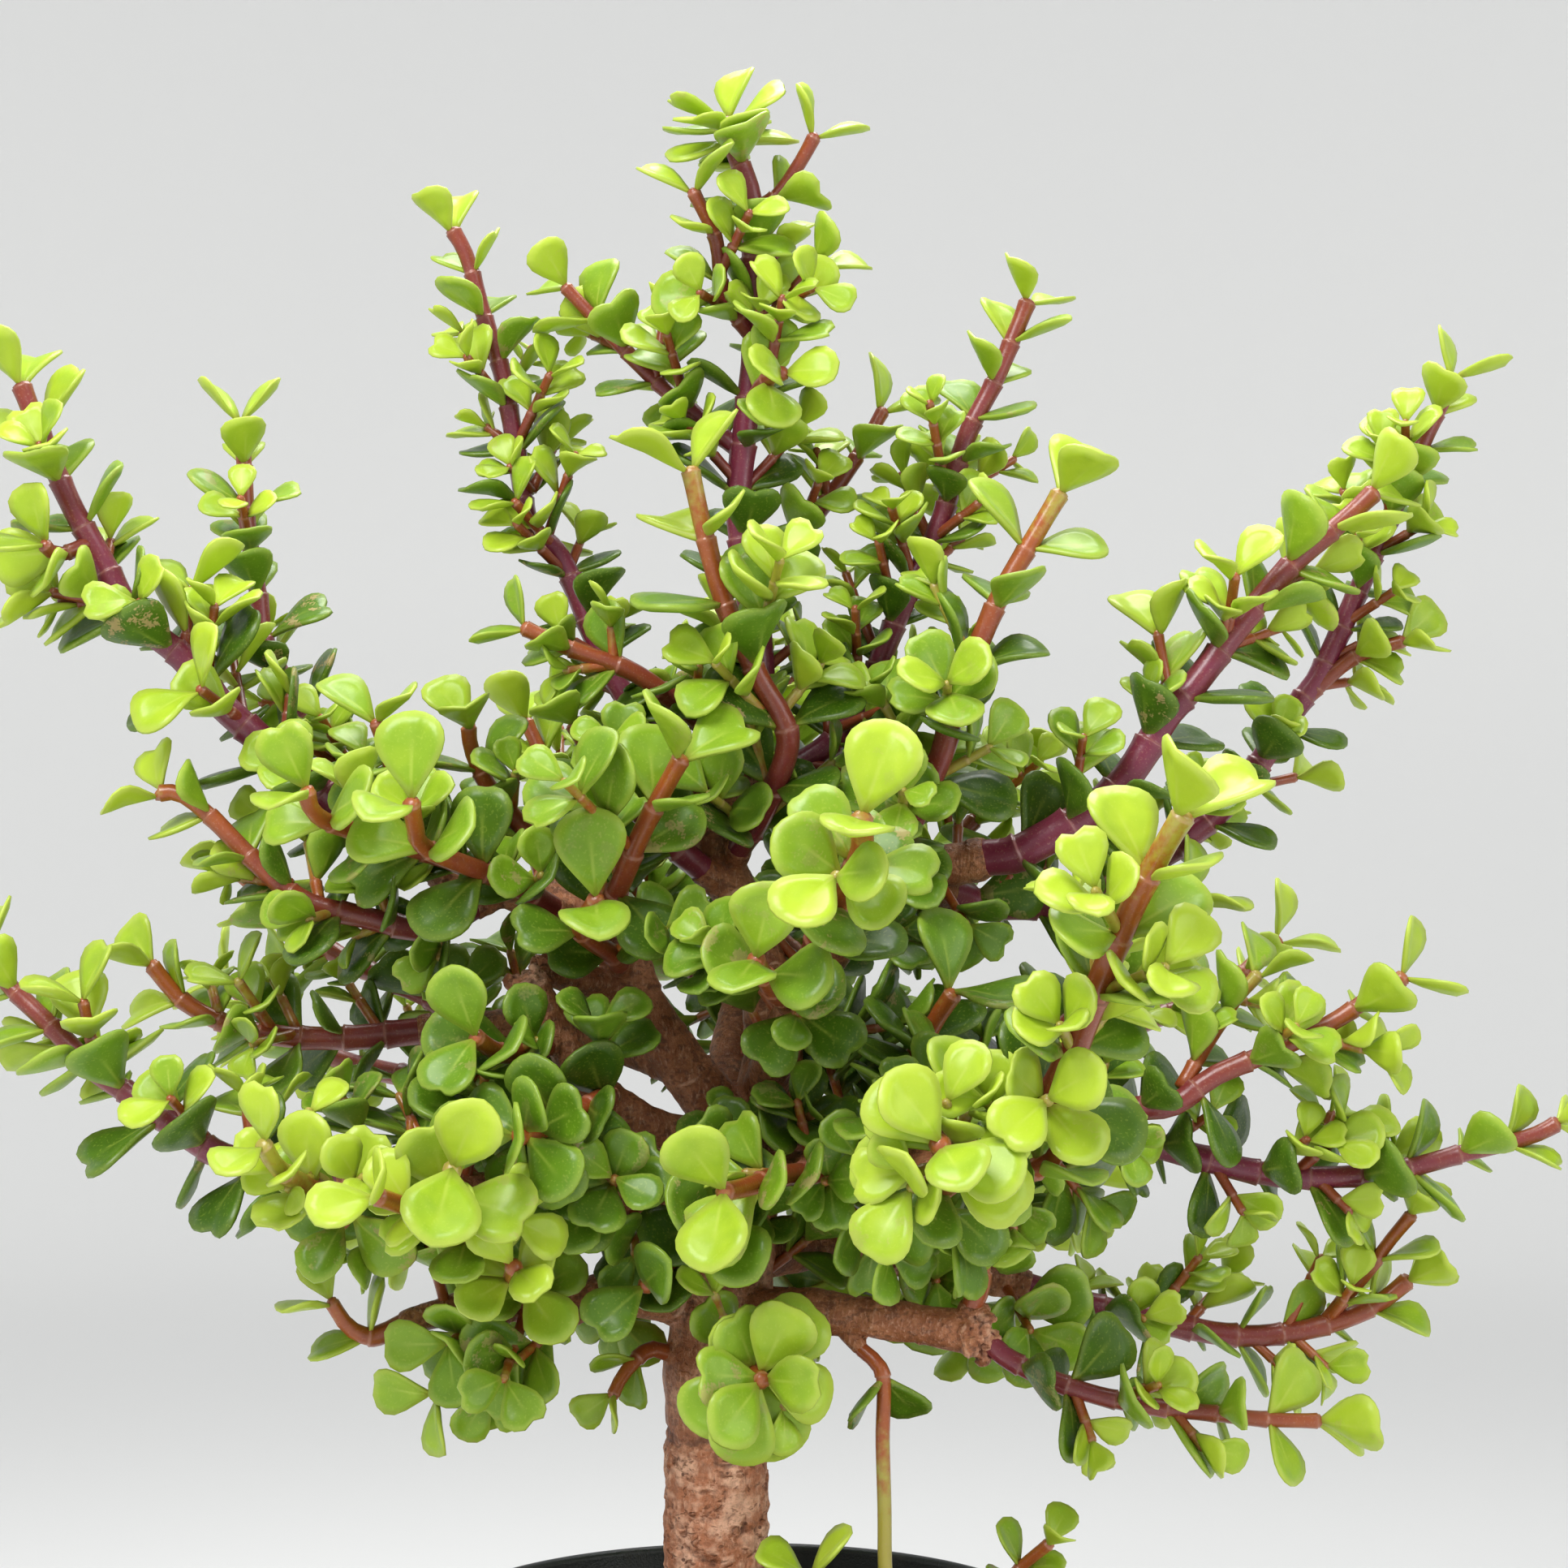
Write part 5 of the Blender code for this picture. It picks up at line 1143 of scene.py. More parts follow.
class LeafSettings(bpy.types.PropertyGroup):
    young: colour_prop("Young", "Leaves at the tips", (0.43, 0.58, 0.03))
    fresh: colour_prop("Fresh", "The next leaves down", (0.25, 0.41, 0.016))
    grown: colour_prop("Grown", "Full grown leaves", (0.13, 0.26, 0.01))
    dark: colour_prop("Dark", "The oldest leaves", (0.045, 0.11, 0.003))
    # On the rim this colour is partly a painted highlight along the leaf's rounded edge
    rim: colour_prop("Rim", "The pale rim and midrib", (0.52, 0.62, 0.1))
    foot: colour_prop("Foot", "The leaf's foot at the stem", (0.4, 0.46, 0.05))
    scar: colour_prop("Scar", "Dry spots on old leaves", (0.42, 0.3, 0.13))
    wave: number_prop("Wave", "How uneven each leaf is", 0.035, max=0.2, subtype="FACTOR")


class StageSettings(bpy.types.PropertyGroup):
    paper: colour_prop("Paper", "The floor and the backdrop", (0.74, 0.74, 0.73))
    glow: colour_prop("Glow", "The even light on the far paper", (0.2, 0.2, 0.198))
    key: number_prop("Key light", "Power of the large soft light", 20.0, unit="POWER")
    fill: number_prop("Fill light", "Power of the light from the side", 6.0, unit="POWER")
    top: number_prop("Top light", "Power of the light from above", 7.0, unit="POWER")
    sky: number_prop("Sky", "Brightness all round", 0.34)
    lens: number_prop("Lens", "The camera's focal length", 64.3, 10.0, subtype="DISTANCE_CAMERA")


def object_mode():
    """Back out of edit mode."""
    bpy.ops.object.mode_set(mode="OBJECT")


def deselect():
    """Nothing selected, so that an operator acts on the new piece alone."""
    if bpy.context.object and bpy.context.object.mode != "OBJECT":
        object_mode()
    bpy.ops.object.select_all(action="DESELECT")


def select_only(*objects):
    """Only these objects selected, the first one active."""
    deselect()
    for each in objects:
        each.select_set(True)
    bpy.context.view_layer.objects.active = objects[0]


def edit_all():
    """Edit mode with the whole mesh selected."""
    bpy.ops.object.mode_set(mode="EDIT")
    bpy.ops.mesh.select_all(action="SELECT")


def resized(factors):
    """Stretches or flattens the active mesh."""
    edit_all()
    bpy.ops.transform.resize(value=factors)
    object_mode()


def welded(weld, inside=False):
    """Joins the mesh's corners that meet, turns its faces out or in, and leaves edit mode."""
    bpy.ops.mesh.select_all(action="SELECT")
    bpy.ops.mesh.remove_doubles(threshold=weld)
    bpy.ops.mesh.normals_make_consistent(inside=inside)
    object_mode()


def spun(steps):
    """Spins the active mesh, in edit mode, once round the upright axis."""
    bpy.ops.mesh.select_all(action="SELECT")
    bpy.ops.mesh.spin(steps=steps, angle=2 * math.pi, center=(0, 0, 0), axis=(0, 0, 1))


def copy_of(model):
    """One more object like the model, with a mesh of its own."""
    copy = model.copy()
    copy.data = model.data.copy()
    bpy.context.scene.collection.objects.link(copy)
    return copy


def joined(copies):
    """The copies as one object."""
    select_only(*copies)
    bpy.ops.object.join()
    return bpy.context.active_object


def store(mesh, name, values):
    """Keeps three values for each vertex."""
    kept = mesh.attributes.get(name) or mesh.attributes.new(name, "FLOAT_VECTOR", "POINT")
    kept.data.foreach_set("vector", np.asarray(values, dtype=np.float32).ravel())


def per_corner(mesh, name):
    """A vertex's place or normal, one row for each vertex."""
    values = np.empty(len(mesh.vertices) * 3, dtype=np.float32)
    mesh.vertices.foreach_get(name, values)
    return values.reshape(-1, 3)


def move_to(mesh, places):
    """Puts the mesh's vertices at the given places."""
    mesh.vertices.foreach_set("co", np.asarray(places, dtype=np.float32).ravel())
    mesh.update()


def finished(piece, name, slot, paint, *nodes):
    """A piece with its name and its material, riding on the body in place of the given nodes; its slot is not
    used.
    """
    piece.name = name
    piece.data.name = name
    piece.data.materials.clear()
    piece.data.materials.append(paint)
    deselect()
    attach(piece, BODY)
    if nodes:
        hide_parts(*nodes)
    return piece


def lifted(place):
    """A place in millimetres over the rim, in metres over the floor."""
    return (place + Vector((0, 0, POT_HEIGHT))) * MM


def bell(away, width):
    """1 in the middle, sinking softly to 0 on both sides over about the width."""
    return math.exp(-(away / width) ** 2)


def waves(spot, heights_and_lengths):
    """Noise at a spot, summed over the given waves."""
    return sum(noise.noise(spot / length) * height for height, length in heights_and_lengths)


# Tubes: the radius at a closed end, and how near two of its rings or corners may be, in millimetres
POINTED = 0.01
CLOSEST = 0.02


def tubes(name, runs, roundness, mark):
    """Round tubes as one mesh: each run is a list of places, radii and stored values, closed at both ends."""
    curve = bpy.data.curves.new(name, "CURVE")
    curve.dimensions = "3D"
    curve.bevel_depth = MM
    curve.bevel_resolution = roundness
    values = []
    for run in runs:
        pairs = zip(run, run[1:])
        run = run[:1] + [ring for before, ring in pairs if (ring[0] - before[0]).length > CLOSEST]
        values += [value for _, _, value in run]
        spline = curve.splines.new("POLY")
        spline.points.add(len(run) - 1)
        for point, (place, radius, _) in zip(spline.points, run):
            point.co = (*lifted(place), 1.0)
            point.radius = radius
    drawn = bpy.data.objects.new(name, curve)
    bpy.context.scene.collection.objects.link(drawn)
    select_only(drawn)
    bpy.ops.object.convert(target="MESH")
    made = bpy.context.active_object
    around = len(made.data.vertices) // len(values)
    store(made.data, mark, np.repeat(np.array(values), around, axis=0))
    edit_all()
    welded(CLOSEST * MM)
    bpy.ops.object.shade_smooth()
    return made


# A stem's rings: where they stand about a joint, how far apart they are elsewhere, and how long it stays
# between two joints that no leaf marks
JOINT_EDGES = (-2.2, -1.1, -0.45, -0.1, 0.15, 0.5, 1.3)
JOINT_ROOM = 2.6
PLAIN_STEP = 3.0
INTERNODE = 12.5
# How a joint's swelling is shared between the whole length below it and its own last part
SLIMMER = 0.55
EVEN_SWELL = 0.35
TOP_SWELL = 1.1
TOP_SHARPNESS = 6
JOINT_MARK = 0.4
OLD_STEM = 110.0
FOOT_FLARE = 1.04
FOOT_CLOSED = 0.4
# A stem's rounded tip: how far past its end each ring stands, with its share of the radius
ROUND_TIP = (0.5, 0.6)
TIP_CLOSED = 0.8


def stem_rings(stem, hue, swell, foot):
    """The rings of a stem: each length between joints widens upwards, over the foot of the next."""
    joints = sorted(distance for distance, _ in stem.pairs)
    while joints and joints[0] > INTERNODE:
        joints.insert(0, joints[0] - INTERNODE)
    distances = set(np.arange(0.0, stem.length, PLAIN_STEP))
    for joint in joints:
        near = {round(joint + edge, 3) for edge in JOINT_EDGES}
        distances = {other for other in distances if abs(other - joint) > JOINT_ROOM} | near
    distances = sorted(other for other in distances if 0.0 <= other <= stem.length)
    bounds = [-foot] + joints + [stem.length + INTERNODE]
    rings = []
    for distance in distances:
        above = next(index for index, joint in enumerate(bounds) if joint > distance)
        part = (distance - bounds[above - 1]) / (bounds[above] - bounds[above - 1])
        nearest = min((abs(distance - joint) for joint in joints), default=math.inf)
        swollen = EVEN_SWELL * part + TOP_SWELL * part ** TOP_SHARPNESS
        radius = stem.radius(distance) * (1.0 - swell * SLIMMER + swell * swollen)
        age = min(1.0, (stem.length - distance) / OLD_STEM)
        rings.append((stem.rounded(distance), radius, (age, bell(nearest, JOINT_MARK), hue)))
    first, last = rings[0], rings[-1]
    _, way, _ = stem.frame(0.0)
    _, up, _ = stem.frame(stem.length)
    base = first[0] - way * foot
    if foot:
        rings.insert(0, (base, first[1] * FOOT_FLARE, first[2]))
    rings.insert(0, (base - way * FOOT_CLOSED, POINTED, first[2]))
    rings.append((last[0] + up * ROUND_TIP[0], last[1] * ROUND_TIP[1], last[2]))
    rings.append((last[0] + up * TIP_CLOSED, POINTED, last[2]))
    return rings


# A leaf's pattern: its rings, its flattened ball's shape, and its corners round, of a small and a large leaf
PATTERN_RINGS = 5
PATTERN_SHAPE = (0.5, 0.44, 0.07)
PATTERN_CORNERS = (16, 24)
LARGE_LEAF = 16.5
# Each leaf's own shape: the notch at its tip, its uneven halves, its wavy and curled rim, and its flesh
NOTCHES = (0.0, 0.0, 0.05, 0.13)
NOTCH_WIDTH = 0.3
NOTCH_END = 4
SOFT_FOLD = 0.5
WAVINESS = (0.3, 1.0)
RIM_CURL = (-0.02, 0.05)
FLESH = 0.42
FLESH_AT_FOOT = 0.1
RIM_THINNING = 0.8
RIM_SHARPNESS = 5
UPPER_FLESH = 0.8
LEAF_TWIST = 0.25


def leaf_pattern(corners_round):
    """One leaf, drawn out of a flattened ball: its outline, its thick middle and its rounded rim."""
    deselect()
    bpy.ops.mesh.primitive_uv_sphere_add(segments=corners_round, ring_count=PATTERN_RINGS, radius=1.0)
    made = bpy.context.active_object
    made.name = "leaf_pattern"
    ball = per_corner(made.data, "co")
    ball[:, :2] /= np.hypot(ball[:, 0], ball[:, 1]).max()
    rim = np.hypot(ball[:, 0], ball[:, 1])
    store(made.data, "blade", np.stack((0.5 - 0.5 * ball[:, 0], ball[:, 1], rim), axis=1))
    # Marks the underside, whose colour is painted paler as painted light through the leaf
    store(made.data, "under", np.stack((ball[:, 2] < 0, rim * 0, rim * 0), axis=1))
    resized(PATTERN_SHAPE)
    bpy.ops.object.shade_smooth()
    return made, ball, rim


def shaped(ball, rim, leaf, draw, wave):
    """The leaf pattern's places bent to one leaf's own outline, fold and curl."""
    run = 0.5 - 0.5 * ball[:, 0]
    notch = draw.choice(NOTCHES) * np.exp(-(ball[:, 1] / NOTCH_WIDTH) ** 2) * run ** NOTCH_END
    x = leaf["length"] * run ** LEAF_EVENNESS * (1.0 - notch)
    skew = 1.0 + draw.uniform(-wave, wave) * 2.0 * np.sign(ball[:, 1])
    y = ball[:, 1] * spread(run) * leaf["width"] * 0.5 * skew
    across = np.hypot(y, SOFT_FOLD) - SOFT_FOLD
    lift = leaf["fold"] * across + leaf["bend"] * leaf["length"] * (x / leaf["length"]) ** 2
    swing = draw.uniform(0.0, 2 * math.pi)
    around = np.arctan2(ball[:, 1], ball[:, 0])
    lift += draw.uniform(*WAVINESS) * wave * leaf["length"] * rim ** 2 * np.sin(2 * around + swing)
    lift += draw.uniform(*RIM_CURL) * leaf["width"] * rim ** 2
    flesh = leaf["thick"] * (FLESH + FLESH_AT_FOOT * (1.0 - run))
    flesh = flesh * np.sqrt(1.0 - RIM_THINNING * rim ** RIM_SHARPNESS)
    twist = draw.uniform(-LEAF_TWIST, LEAF_TWIST) * x / leaf["length"]
    z = lift + np.where(ball[:, 2] > 0, flesh * UPPER_FLESH, -flesh)
    z += twist * y
    return np.stack((x, y, z), axis=1)


# The crown's middle and reach in millimetres over the rim, and the share of it where its outer leaves start
CROWN_MIDDLE = Vector((0, 0, 150))
CROWN_REACH = Vector((190, 130, 150))
OUTER_LEAVES = 0.8
# How old and dark a leaf is: at its stem's tip, down its stem, deep in the crown as age and painted shade,
# and by chance
YOUNGEST = 0.04
OLD_FROM_TIP = 80.0
DEEP_AGE_AND_SHADE = 0.7
AGE_SPREAD = 0.13
SCARS_RARE = 6
SCARS_WITH_AGE = 2


def inside_crown(place):
    """How deep inside the crown a place lies: 1 at its middle and 0 from its outer leaves on."""
    reach = place - CROWN_MIDDLE
    share = Vector((reach.x / CROWN_REACH.x, reach.y / CROWN_REACH.y, reach.z / CROWN_REACH.z)).length
    return max(0.0, 1.0 - share / OUTER_LEAVES)


def leaf_cluster(name, leaves, patterns, shade, wave):
    """The leaves of one shoot, each a copy of a pattern bent to its own shape, joined in one mesh."""
    draw = random.Random(name)
    copies = []
    for leaf in leaves:
        model, ball, rim = patterns[leaf["length"] > LARGE_LEAF]
        copy = copy_of(model)
        places = shaped(ball, rim, leaf, draw, wave)
        seat = np.array(leaf["place"])
        places = places @ seat[:3, :3].T + seat[:3, 3] + np.array(leaf["shift"])
        places[:, 2] += POT_HEIGHT
        move_to(copy.data, places * MM)
        # Leaves deep in the crown are painted darker: partly older leaves, partly painted shade
        deep = inside_crown(leaf["place"].translation) * DEEP_AGE_AND_SHADE
        age = YOUNGEST + leaf["from_tip"] / OLD_FROM_TIP + shade + deep
        age = min(1.0, max(0.0, age + draw.uniform(-AGE_SPREAD, AGE_SPREAD)))
        scar = draw.random() ** SCARS_RARE * min(1.0, age * SCARS_WITH_AGE)
        store(copy.data, "tone", np.tile((age, draw.random(), scar), (len(places), 1)))
        copies.append(copy)
    return joined(copies)


# The pot's section: how far out and up each of its points lies from its foot, from its neck under the band,
# from the band's lower edge, from the lip, and from the foot of its inside
FOOT_HOLLOW = 1.0
POT_FOOT = ((-6.0, FOOT_HOLLOW), (-4.5, 0.0), (-1.6, 0.0), (-0.5, 0.5), (0.0, 1.6), (0.4, 4.0))
POT_NECK = ((-0.5, -3.0), (0.0, -0.8), (0.5, -0.2))
BAND_EDGE = ((-1.0, 0.0), (-0.6, 0.6))
OUTSIDE_RIM = ((-0.3, -4.0),)
INSIDE_RIM = ((-3.2, -3.0),)
INSIDE_NECK = ((0.0, 0.0),)
INSIDE_FOOT = ((1.2, 2.2), (-0.2, 0.6), (-1.4, 0.0))
LIP = 1.6
LIP_STEPS = 9
POT_WELD = 0.03
POT_CREASE = 38.0
DRILL_SIDES = 32


def pot_outline():
    """The pot's section as radius and height: up its outside, round its lip, and down its inside."""
    band = POT_HEIGHT - RIM_BAND
    lip = [(LIP * math.cos(turn), LIP * math.sin(turn)) for turn in np.linspace(0.0, math.pi, LIP_STEPS)]
    stretches = (
        (POT_BASE_RADIUS, 0.0, POT_FOOT), (POT_NECK_RADIUS, band, POT_NECK),
        (POT_RIM_RADIUS, band, BAND_EDGE), (POT_RIM_RADIUS, POT_HEIGHT, OUTSIDE_RIM),
        (POT_RIM_RADIUS - LIP, POT_HEIGHT - LIP, lip), (POT_RIM_RADIUS, POT_HEIGHT, INSIDE_RIM),
        (POT_NECK_RADIUS - POT_WALL, band, INSIDE_NECK),
        (POT_BASE_RADIUS - POT_WALL, POT_FLOOR, INSIDE_FOOT))
    outline = [(radius + out, height + up) for radius, height, points in stretches for out, up in points]
    return [(POINTED, FOOT_HOLLOW)] + outline + [(POINTED, POT_FLOOR)]


class BONSAI_OT_pot(bpy.types.Operator):
    """Model the nursery pot: a thin turned wall with a rolled rim band and drain holes in its floor"""
    bl_idname = "bonsai.pot"
    bl_label = "Pot"

    def execute(self, context):
        settings = context.scene.bonsai_pot
        outline = pot_outline()
        deselect()
        bpy.ops.mesh.primitive_circle_add(vertices=len(outline), radius=POT_BASE_RADIUS * MM)
        pot = context.active_object
        move_to(pot.data, [(radius * MM, 0.0, height * MM) for radius, height in outline])
        edit_all()
        bpy.ops.mesh.select_mode(type="EDGE")
        object_mode()
        closing = {0, len(outline) - 1}
        for edge in pot.data.edges:
            edge.select = set(edge.vertices) == closing
        bpy.ops.object.mode_set(mode="EDIT")
        bpy.ops.mesh.delete(type="EDGE")
        bpy.ops.mesh.select_mode(type="VERT")
        spun(settings.turns)
        welded(POT_WELD * MM)
        for hole in range(DRAIN_HOLES):
            turn = 2 * math.pi * (hole + 0.5) / DRAIN_HOLES
            place = Vector((DRAIN_CIRCLE * math.cos(turn), DRAIN_CIRCLE * math.sin(turn), POT_FLOOR)) * MM
            deselect()
            bpy.ops.mesh.primitive_cylinder_add(vertices=DRILL_SIDES, radius=DRAIN_RADIUS * MM,
                                                depth=4 * POT_FLOOR * MM, location=place)
            drill = context.active_object
            select_only(pot)
            cut = pot.modifiers.new("hole", "BOOLEAN")
            cut.operation = "DIFFERENCE"
            cut.object = drill
            bpy.ops.object.modifier_apply(modifier=cut.name)
            bpy.data.objects.remove(drill)
        select_only(pot)
        bpy.ops.object.shade_smooth_by_angle(angle=math.radians(POT_CREASE))
        finished(pot, "nursery_pot", "pot", pot_paint(settings), "pot")
        return {"FINISHED"}


# The soil: its crumbly top's waves as height and length, and its mesh
SOIL_WAVES = ((2.2, 16.0), (1.0, 5.0), (0.7, 1.9))
WAVES_FROM = 3.0
SOIL_OFF_WALL = 0.8
SOIL_SIDES = 96
SOIL_RINGS = 26
UPWARD = 0.9
SOIL_BANK = 3.0
LEVEL_AT_WALL = 0.15
SOIL_BROWNNESS = 0.2
SOIL_CREASE = 60.0
# The loose bits on it: their shape, how far each strays from it, and how clear of the wall and the trunk
BIT_SHAPE = (0.5, 0.32, 0.2)
BIT_SIZES = (0.45, 1.5)
BARK_LENGTHS = (0.9, 1.9)
BARK_HEIGHTS = (0.6, 1.1)
GRIT_SHARE = 0.16
GRIT_SHAPE = Vector((1.0, 1.0, 1.6))
GRIT_SIZE = 0.62
BIT_TURN = 6.3
BIT_TILT = 0.5
BIT_LIFT = 0.1
BIT_JAGS = (0.75, 1.25)
BITS_OFF_WALL = 2.0
STUMP_X = -6.4
BITS_OFF_STUMP = 14.5


class BONSAI_OT_soil(bpy.types.Operator):
    """Model the soil that fills the pot, crumbly on top, with bits of bark and grit lying on it"""
    bl_idname = "bonsai.soil"
    bl_label = "Soil"

    top = POT_HEIGHT - SOIL_BELOW_RIM
    base_radius = POT_BASE_RADIUS - POT_WALL - SOIL_OFF_WALL
    top_radius = base_radius + (POT_NECK_RADIUS - POT_BASE_RADIUS) / (POT_HEIGHT - RIM_BAND) * top

    @staticmethod
    def rise(x, y):
        """How far the crumbly surface lies over its middle height, in millimetres."""
        return waves(Vector((x, y, WAVES_FROM)), SOIL_WAVES)

    def mix(self, context, paint):
        """The soil itself: a plug with rings on its top, each point of them lifted or sunk."""
        deselect()
        bpy.ops.mesh.primitive_cylinder_add(vertices=SOIL_SIDES, radius=self.top_radius * MM,
                                            depth=(self.top - POT_FLOOR - GAP) * MM,
                                            location=(0, 0, (self.top + POT_FLOOR + GAP) / 2 * MM),
                                            end_fill_type="NGON")
        soil = context.active_object
        bpy.ops.object.transform_apply(location=True)
        bpy.ops.object.mode_set(mode="EDIT")
        bpy.ops.mesh.select_all(action="DESELECT")
        object_mode()
        for face in soil.data.polygons:
            face.select = face.normal.z > UPWARD
        bpy.ops.object.mode_set(mode="EDIT")
        for _ in range(SOIL_RINGS):
            bpy.ops.mesh.inset(thickness=self.top_radius * MM / (SOIL_RINGS + 0.5))
        bpy.ops.mesh.poke()
        object_mode()
        places = per_corner(soil.data, "co") / MM
        from_wall = self.top_radius - np.hypot(places[:, 0], places[:, 1])
        foot = places[:, 2] < self.top - 1.0
        places[foot, :2] *= self.base_radius / self.top_radius
        for index in np.nonzero(~foot)[0]:
            x, y, _ = places[index]
            places[index, 2] += self.rise(x, y) * min(1.0, from_wall[index] / SOIL_BANK + LEVEL_AT_WALL)
        move_to(soil.data, places * MM)
        store(soil.data, "grain", np.tile((0.0, SOIL_BROWNNESS, 0.0), (len(places), 1)))
        bpy.ops.object.shade_smooth_by_angle(angle=math.radians(SOIL_CREASE))
        finished(soil, "potting_mix", "soil", paint, "soil")

    def bits(self, context, settings, paint):
        """The bits of bark and grit, each a copy of one rough lump."""
        deselect()
        bpy.ops.mesh.primitive_ico_sphere_add(subdivisions=1, radius=1.0)
        bit = context.active_object
        resized(BIT_SHAPE)
        draw = random.Random("bits")
        rough = per_corner(bit.data, "co")
        copies = []
        for _ in range(settings.bits):
            reach = (self.top_radius - BITS_OFF_WALL) * math.sqrt(draw.random())
            turn = draw.uniform(0, 2 * math.pi)
            x, y = reach * math.cos(turn), reach * math.sin(turn)
            if math.hypot(x - STUMP_X, y) < BITS_OFF_STUMP:
                continue
            size = settings.bit_size * draw.uniform(*BIT_SIZES)
            grit = draw.random() < GRIT_SHARE
            if grit:
                size *= GRIT_SIZE
                stretch = GRIT_SHAPE
            else:
                stretch = Vector((draw.uniform(*BARK_LENGTHS), 1.0, draw.uniform(*BARK_HEIGHTS)))
            turned = Quaternion((0, 0, 1), draw.uniform(0, BIT_TURN))
            turned = turned @ Quaternion((1, 0, 0), draw.uniform(-BIT_TILT, BIT_TILT))
            height = (self.top + self.rise(x, y)) * MM + size * BIT_LIFT
            seat = Matrix.Translation((x * MM, y * MM, height))
            seat = np.array(seat @ turned.to_matrix().to_4x4() @ Matrix.Diagonal((*(stretch * size), 1.0)))
            copy = copy_of(bit)
            jag = np.array([[draw.uniform(*BIT_JAGS)] for _ in rough])
            move_to(copy.data, (rough * jag) @ seat[:3, :3].T + seat[:3, 3])
            store(copy.data, "grain", np.tile((0.0, draw.random(), float(grit)), (len(rough), 1)))
            copies.append(copy)
        bpy.data.objects.remove(bit)
        finished(joined(copies), "bark_bits", "soil", paint)

    def execute(self, context):
        settings = context.scene.bonsai_soil
        paint = soil_paint(settings)
        self.mix(context, paint)
        self.bits(context, settings, paint)
        return {"FINISHED"}


# The wood before it is carved, in millimetres: the limbs' rings, their lumps, and how their ends close
WOOD_STEP = 2.0
WOOD_ROUNDNESS = 6
LUMP_SHARE = 0.08
LUMP_LENGTH = 9.0
LUMPS_FROM = 0.3
LIMB_FOOT_CLOSED = 0.4
LIMB_END = (0.8, 0.86)
LIMB_END_CLOSED = 0.3
# The stub under a shoot: its radius as shares of the shoot's, up to where, and how its ends close
STUB_RADII = (1.12, 1.02)
STUB_EVEN_TO = 0.6
STUB_CLOSED = (0.4, 0.2)
# The limbs that end in a healed cut, and how many knobs each cut has
KNOBS = {"lower_right": 22, "sawn_high": 6, "sawn_low": 8}
CUT_REACH = 1.25
KNOB_OUT = (0.7, 1.1)
KNOB_ALONG = (-4.0, 2.2)
KNOB_SIZES = (1.1, 2.4)
KNOB_LEAN = (-0.5, 0.8)
# A knob's rings, as shares of its size: how far along, and how thick
KNOB_RINGS = ((-0.6, 0.8), (0.1, 1.0), (0.8, 0.7))
# The height over the rim up to which the old bark flakes, before the smoother skin starts, and its edge
PEELED_TO = 39.0
PEELED_SLOPE = 2.0
PEELED_WANDER = ((1.6, 5.0), (1.0, 2.0))
PEELED_SHARPNESS = 4.0
STEEPEST = 60.0
PEELED_RIDGE = (0.7, 2.2)
PEELED_GROOVE = (1.4, 0.5, 1.3)
# How much of the flaking bark's colour the smoother part of the stump has
STUMP_SHADE = 0.4
# The skin's lumps as height and length, then a cut's own lumps and flakes, each with their middle, and pits
SKIN_LUMPS = ((0.5, 4.5), (0.3, 2.0))
CUT_LUMPS = (0.7, ((1.3, 1.3),))
CUT_FLAKES = (0.55, ((1.1, 1.5),))
CUT_PITS = (2.1, 0.34)
# How the skin's height is painted, and how far each form shifts it, in millimetres
SKIN_MIDDLE = 0.62
GROOVE_SHADE = 0.55
FLAKE_MIDDLE = 0.7
RING_HEIGHT = 0.32
GROOVE_DEPTH = 0.3
LUMP_HEIGHT = 0.5
FLAKED_LUMPS = 0.4
PIT_DEPTH = 0.6
NEAREST_SPOTS = 10
# The rings on the limbs: how far apart on one and from one limb to the next, how they wander and fade, and
# their width, with the groove under each
RING_STEP = 11.0
RINGS_APART = 3.7
RING_WANDER = ((2.0, 6.0), (5.0, 25.0))
RING_FADE = (0.6, 0.8, 7.0)
FADES_FROM = Vector((3, 3, 3))
RING_WIDTH = 0.8
GROOVE_BELOW = 1.3
GROOVE_WIDTH = 0.45
# Small round pits: where they gather, how far apart they are, and their share of that
PIT_FIELDS = 9.0
PIT_FIELDS_FROM = Vector((7, 7, 7))
PITTED = 0.02
PIT_STEP = 3.2
PIT_WIDTH = 0.17
# The flaking bark: how its pattern bends, and its plates, curls and grain, as sizes across and up
BARK_BEND = (2.0, 5.0)
PLATES = (7.0, 9.0)
CURLS = (4.2, 2.6)
CURLS_FROM = 9.0
FINE_GRAIN = (1.6, 2.6)
CRACK_WIDTH = 0.13
CURL_WIDTH = 0.2
SCALY_FOOT = 10.0
SCALY_EDGE = 6.0
LEAST_SCALY = 0.3
FLAKE_LEVELS = (0.2, 0.7, 0.35)
FLAKE_MOST = 1.25
PLAIN = (0.0, 0.0, 0.0)


def grained(spot, size, start=0.0):
    """Noise at a spot, with one size across and another up."""
    across, up = size
    return noise.noise(Vector((spot.x / across + start, spot.y / across, spot.z / up)))


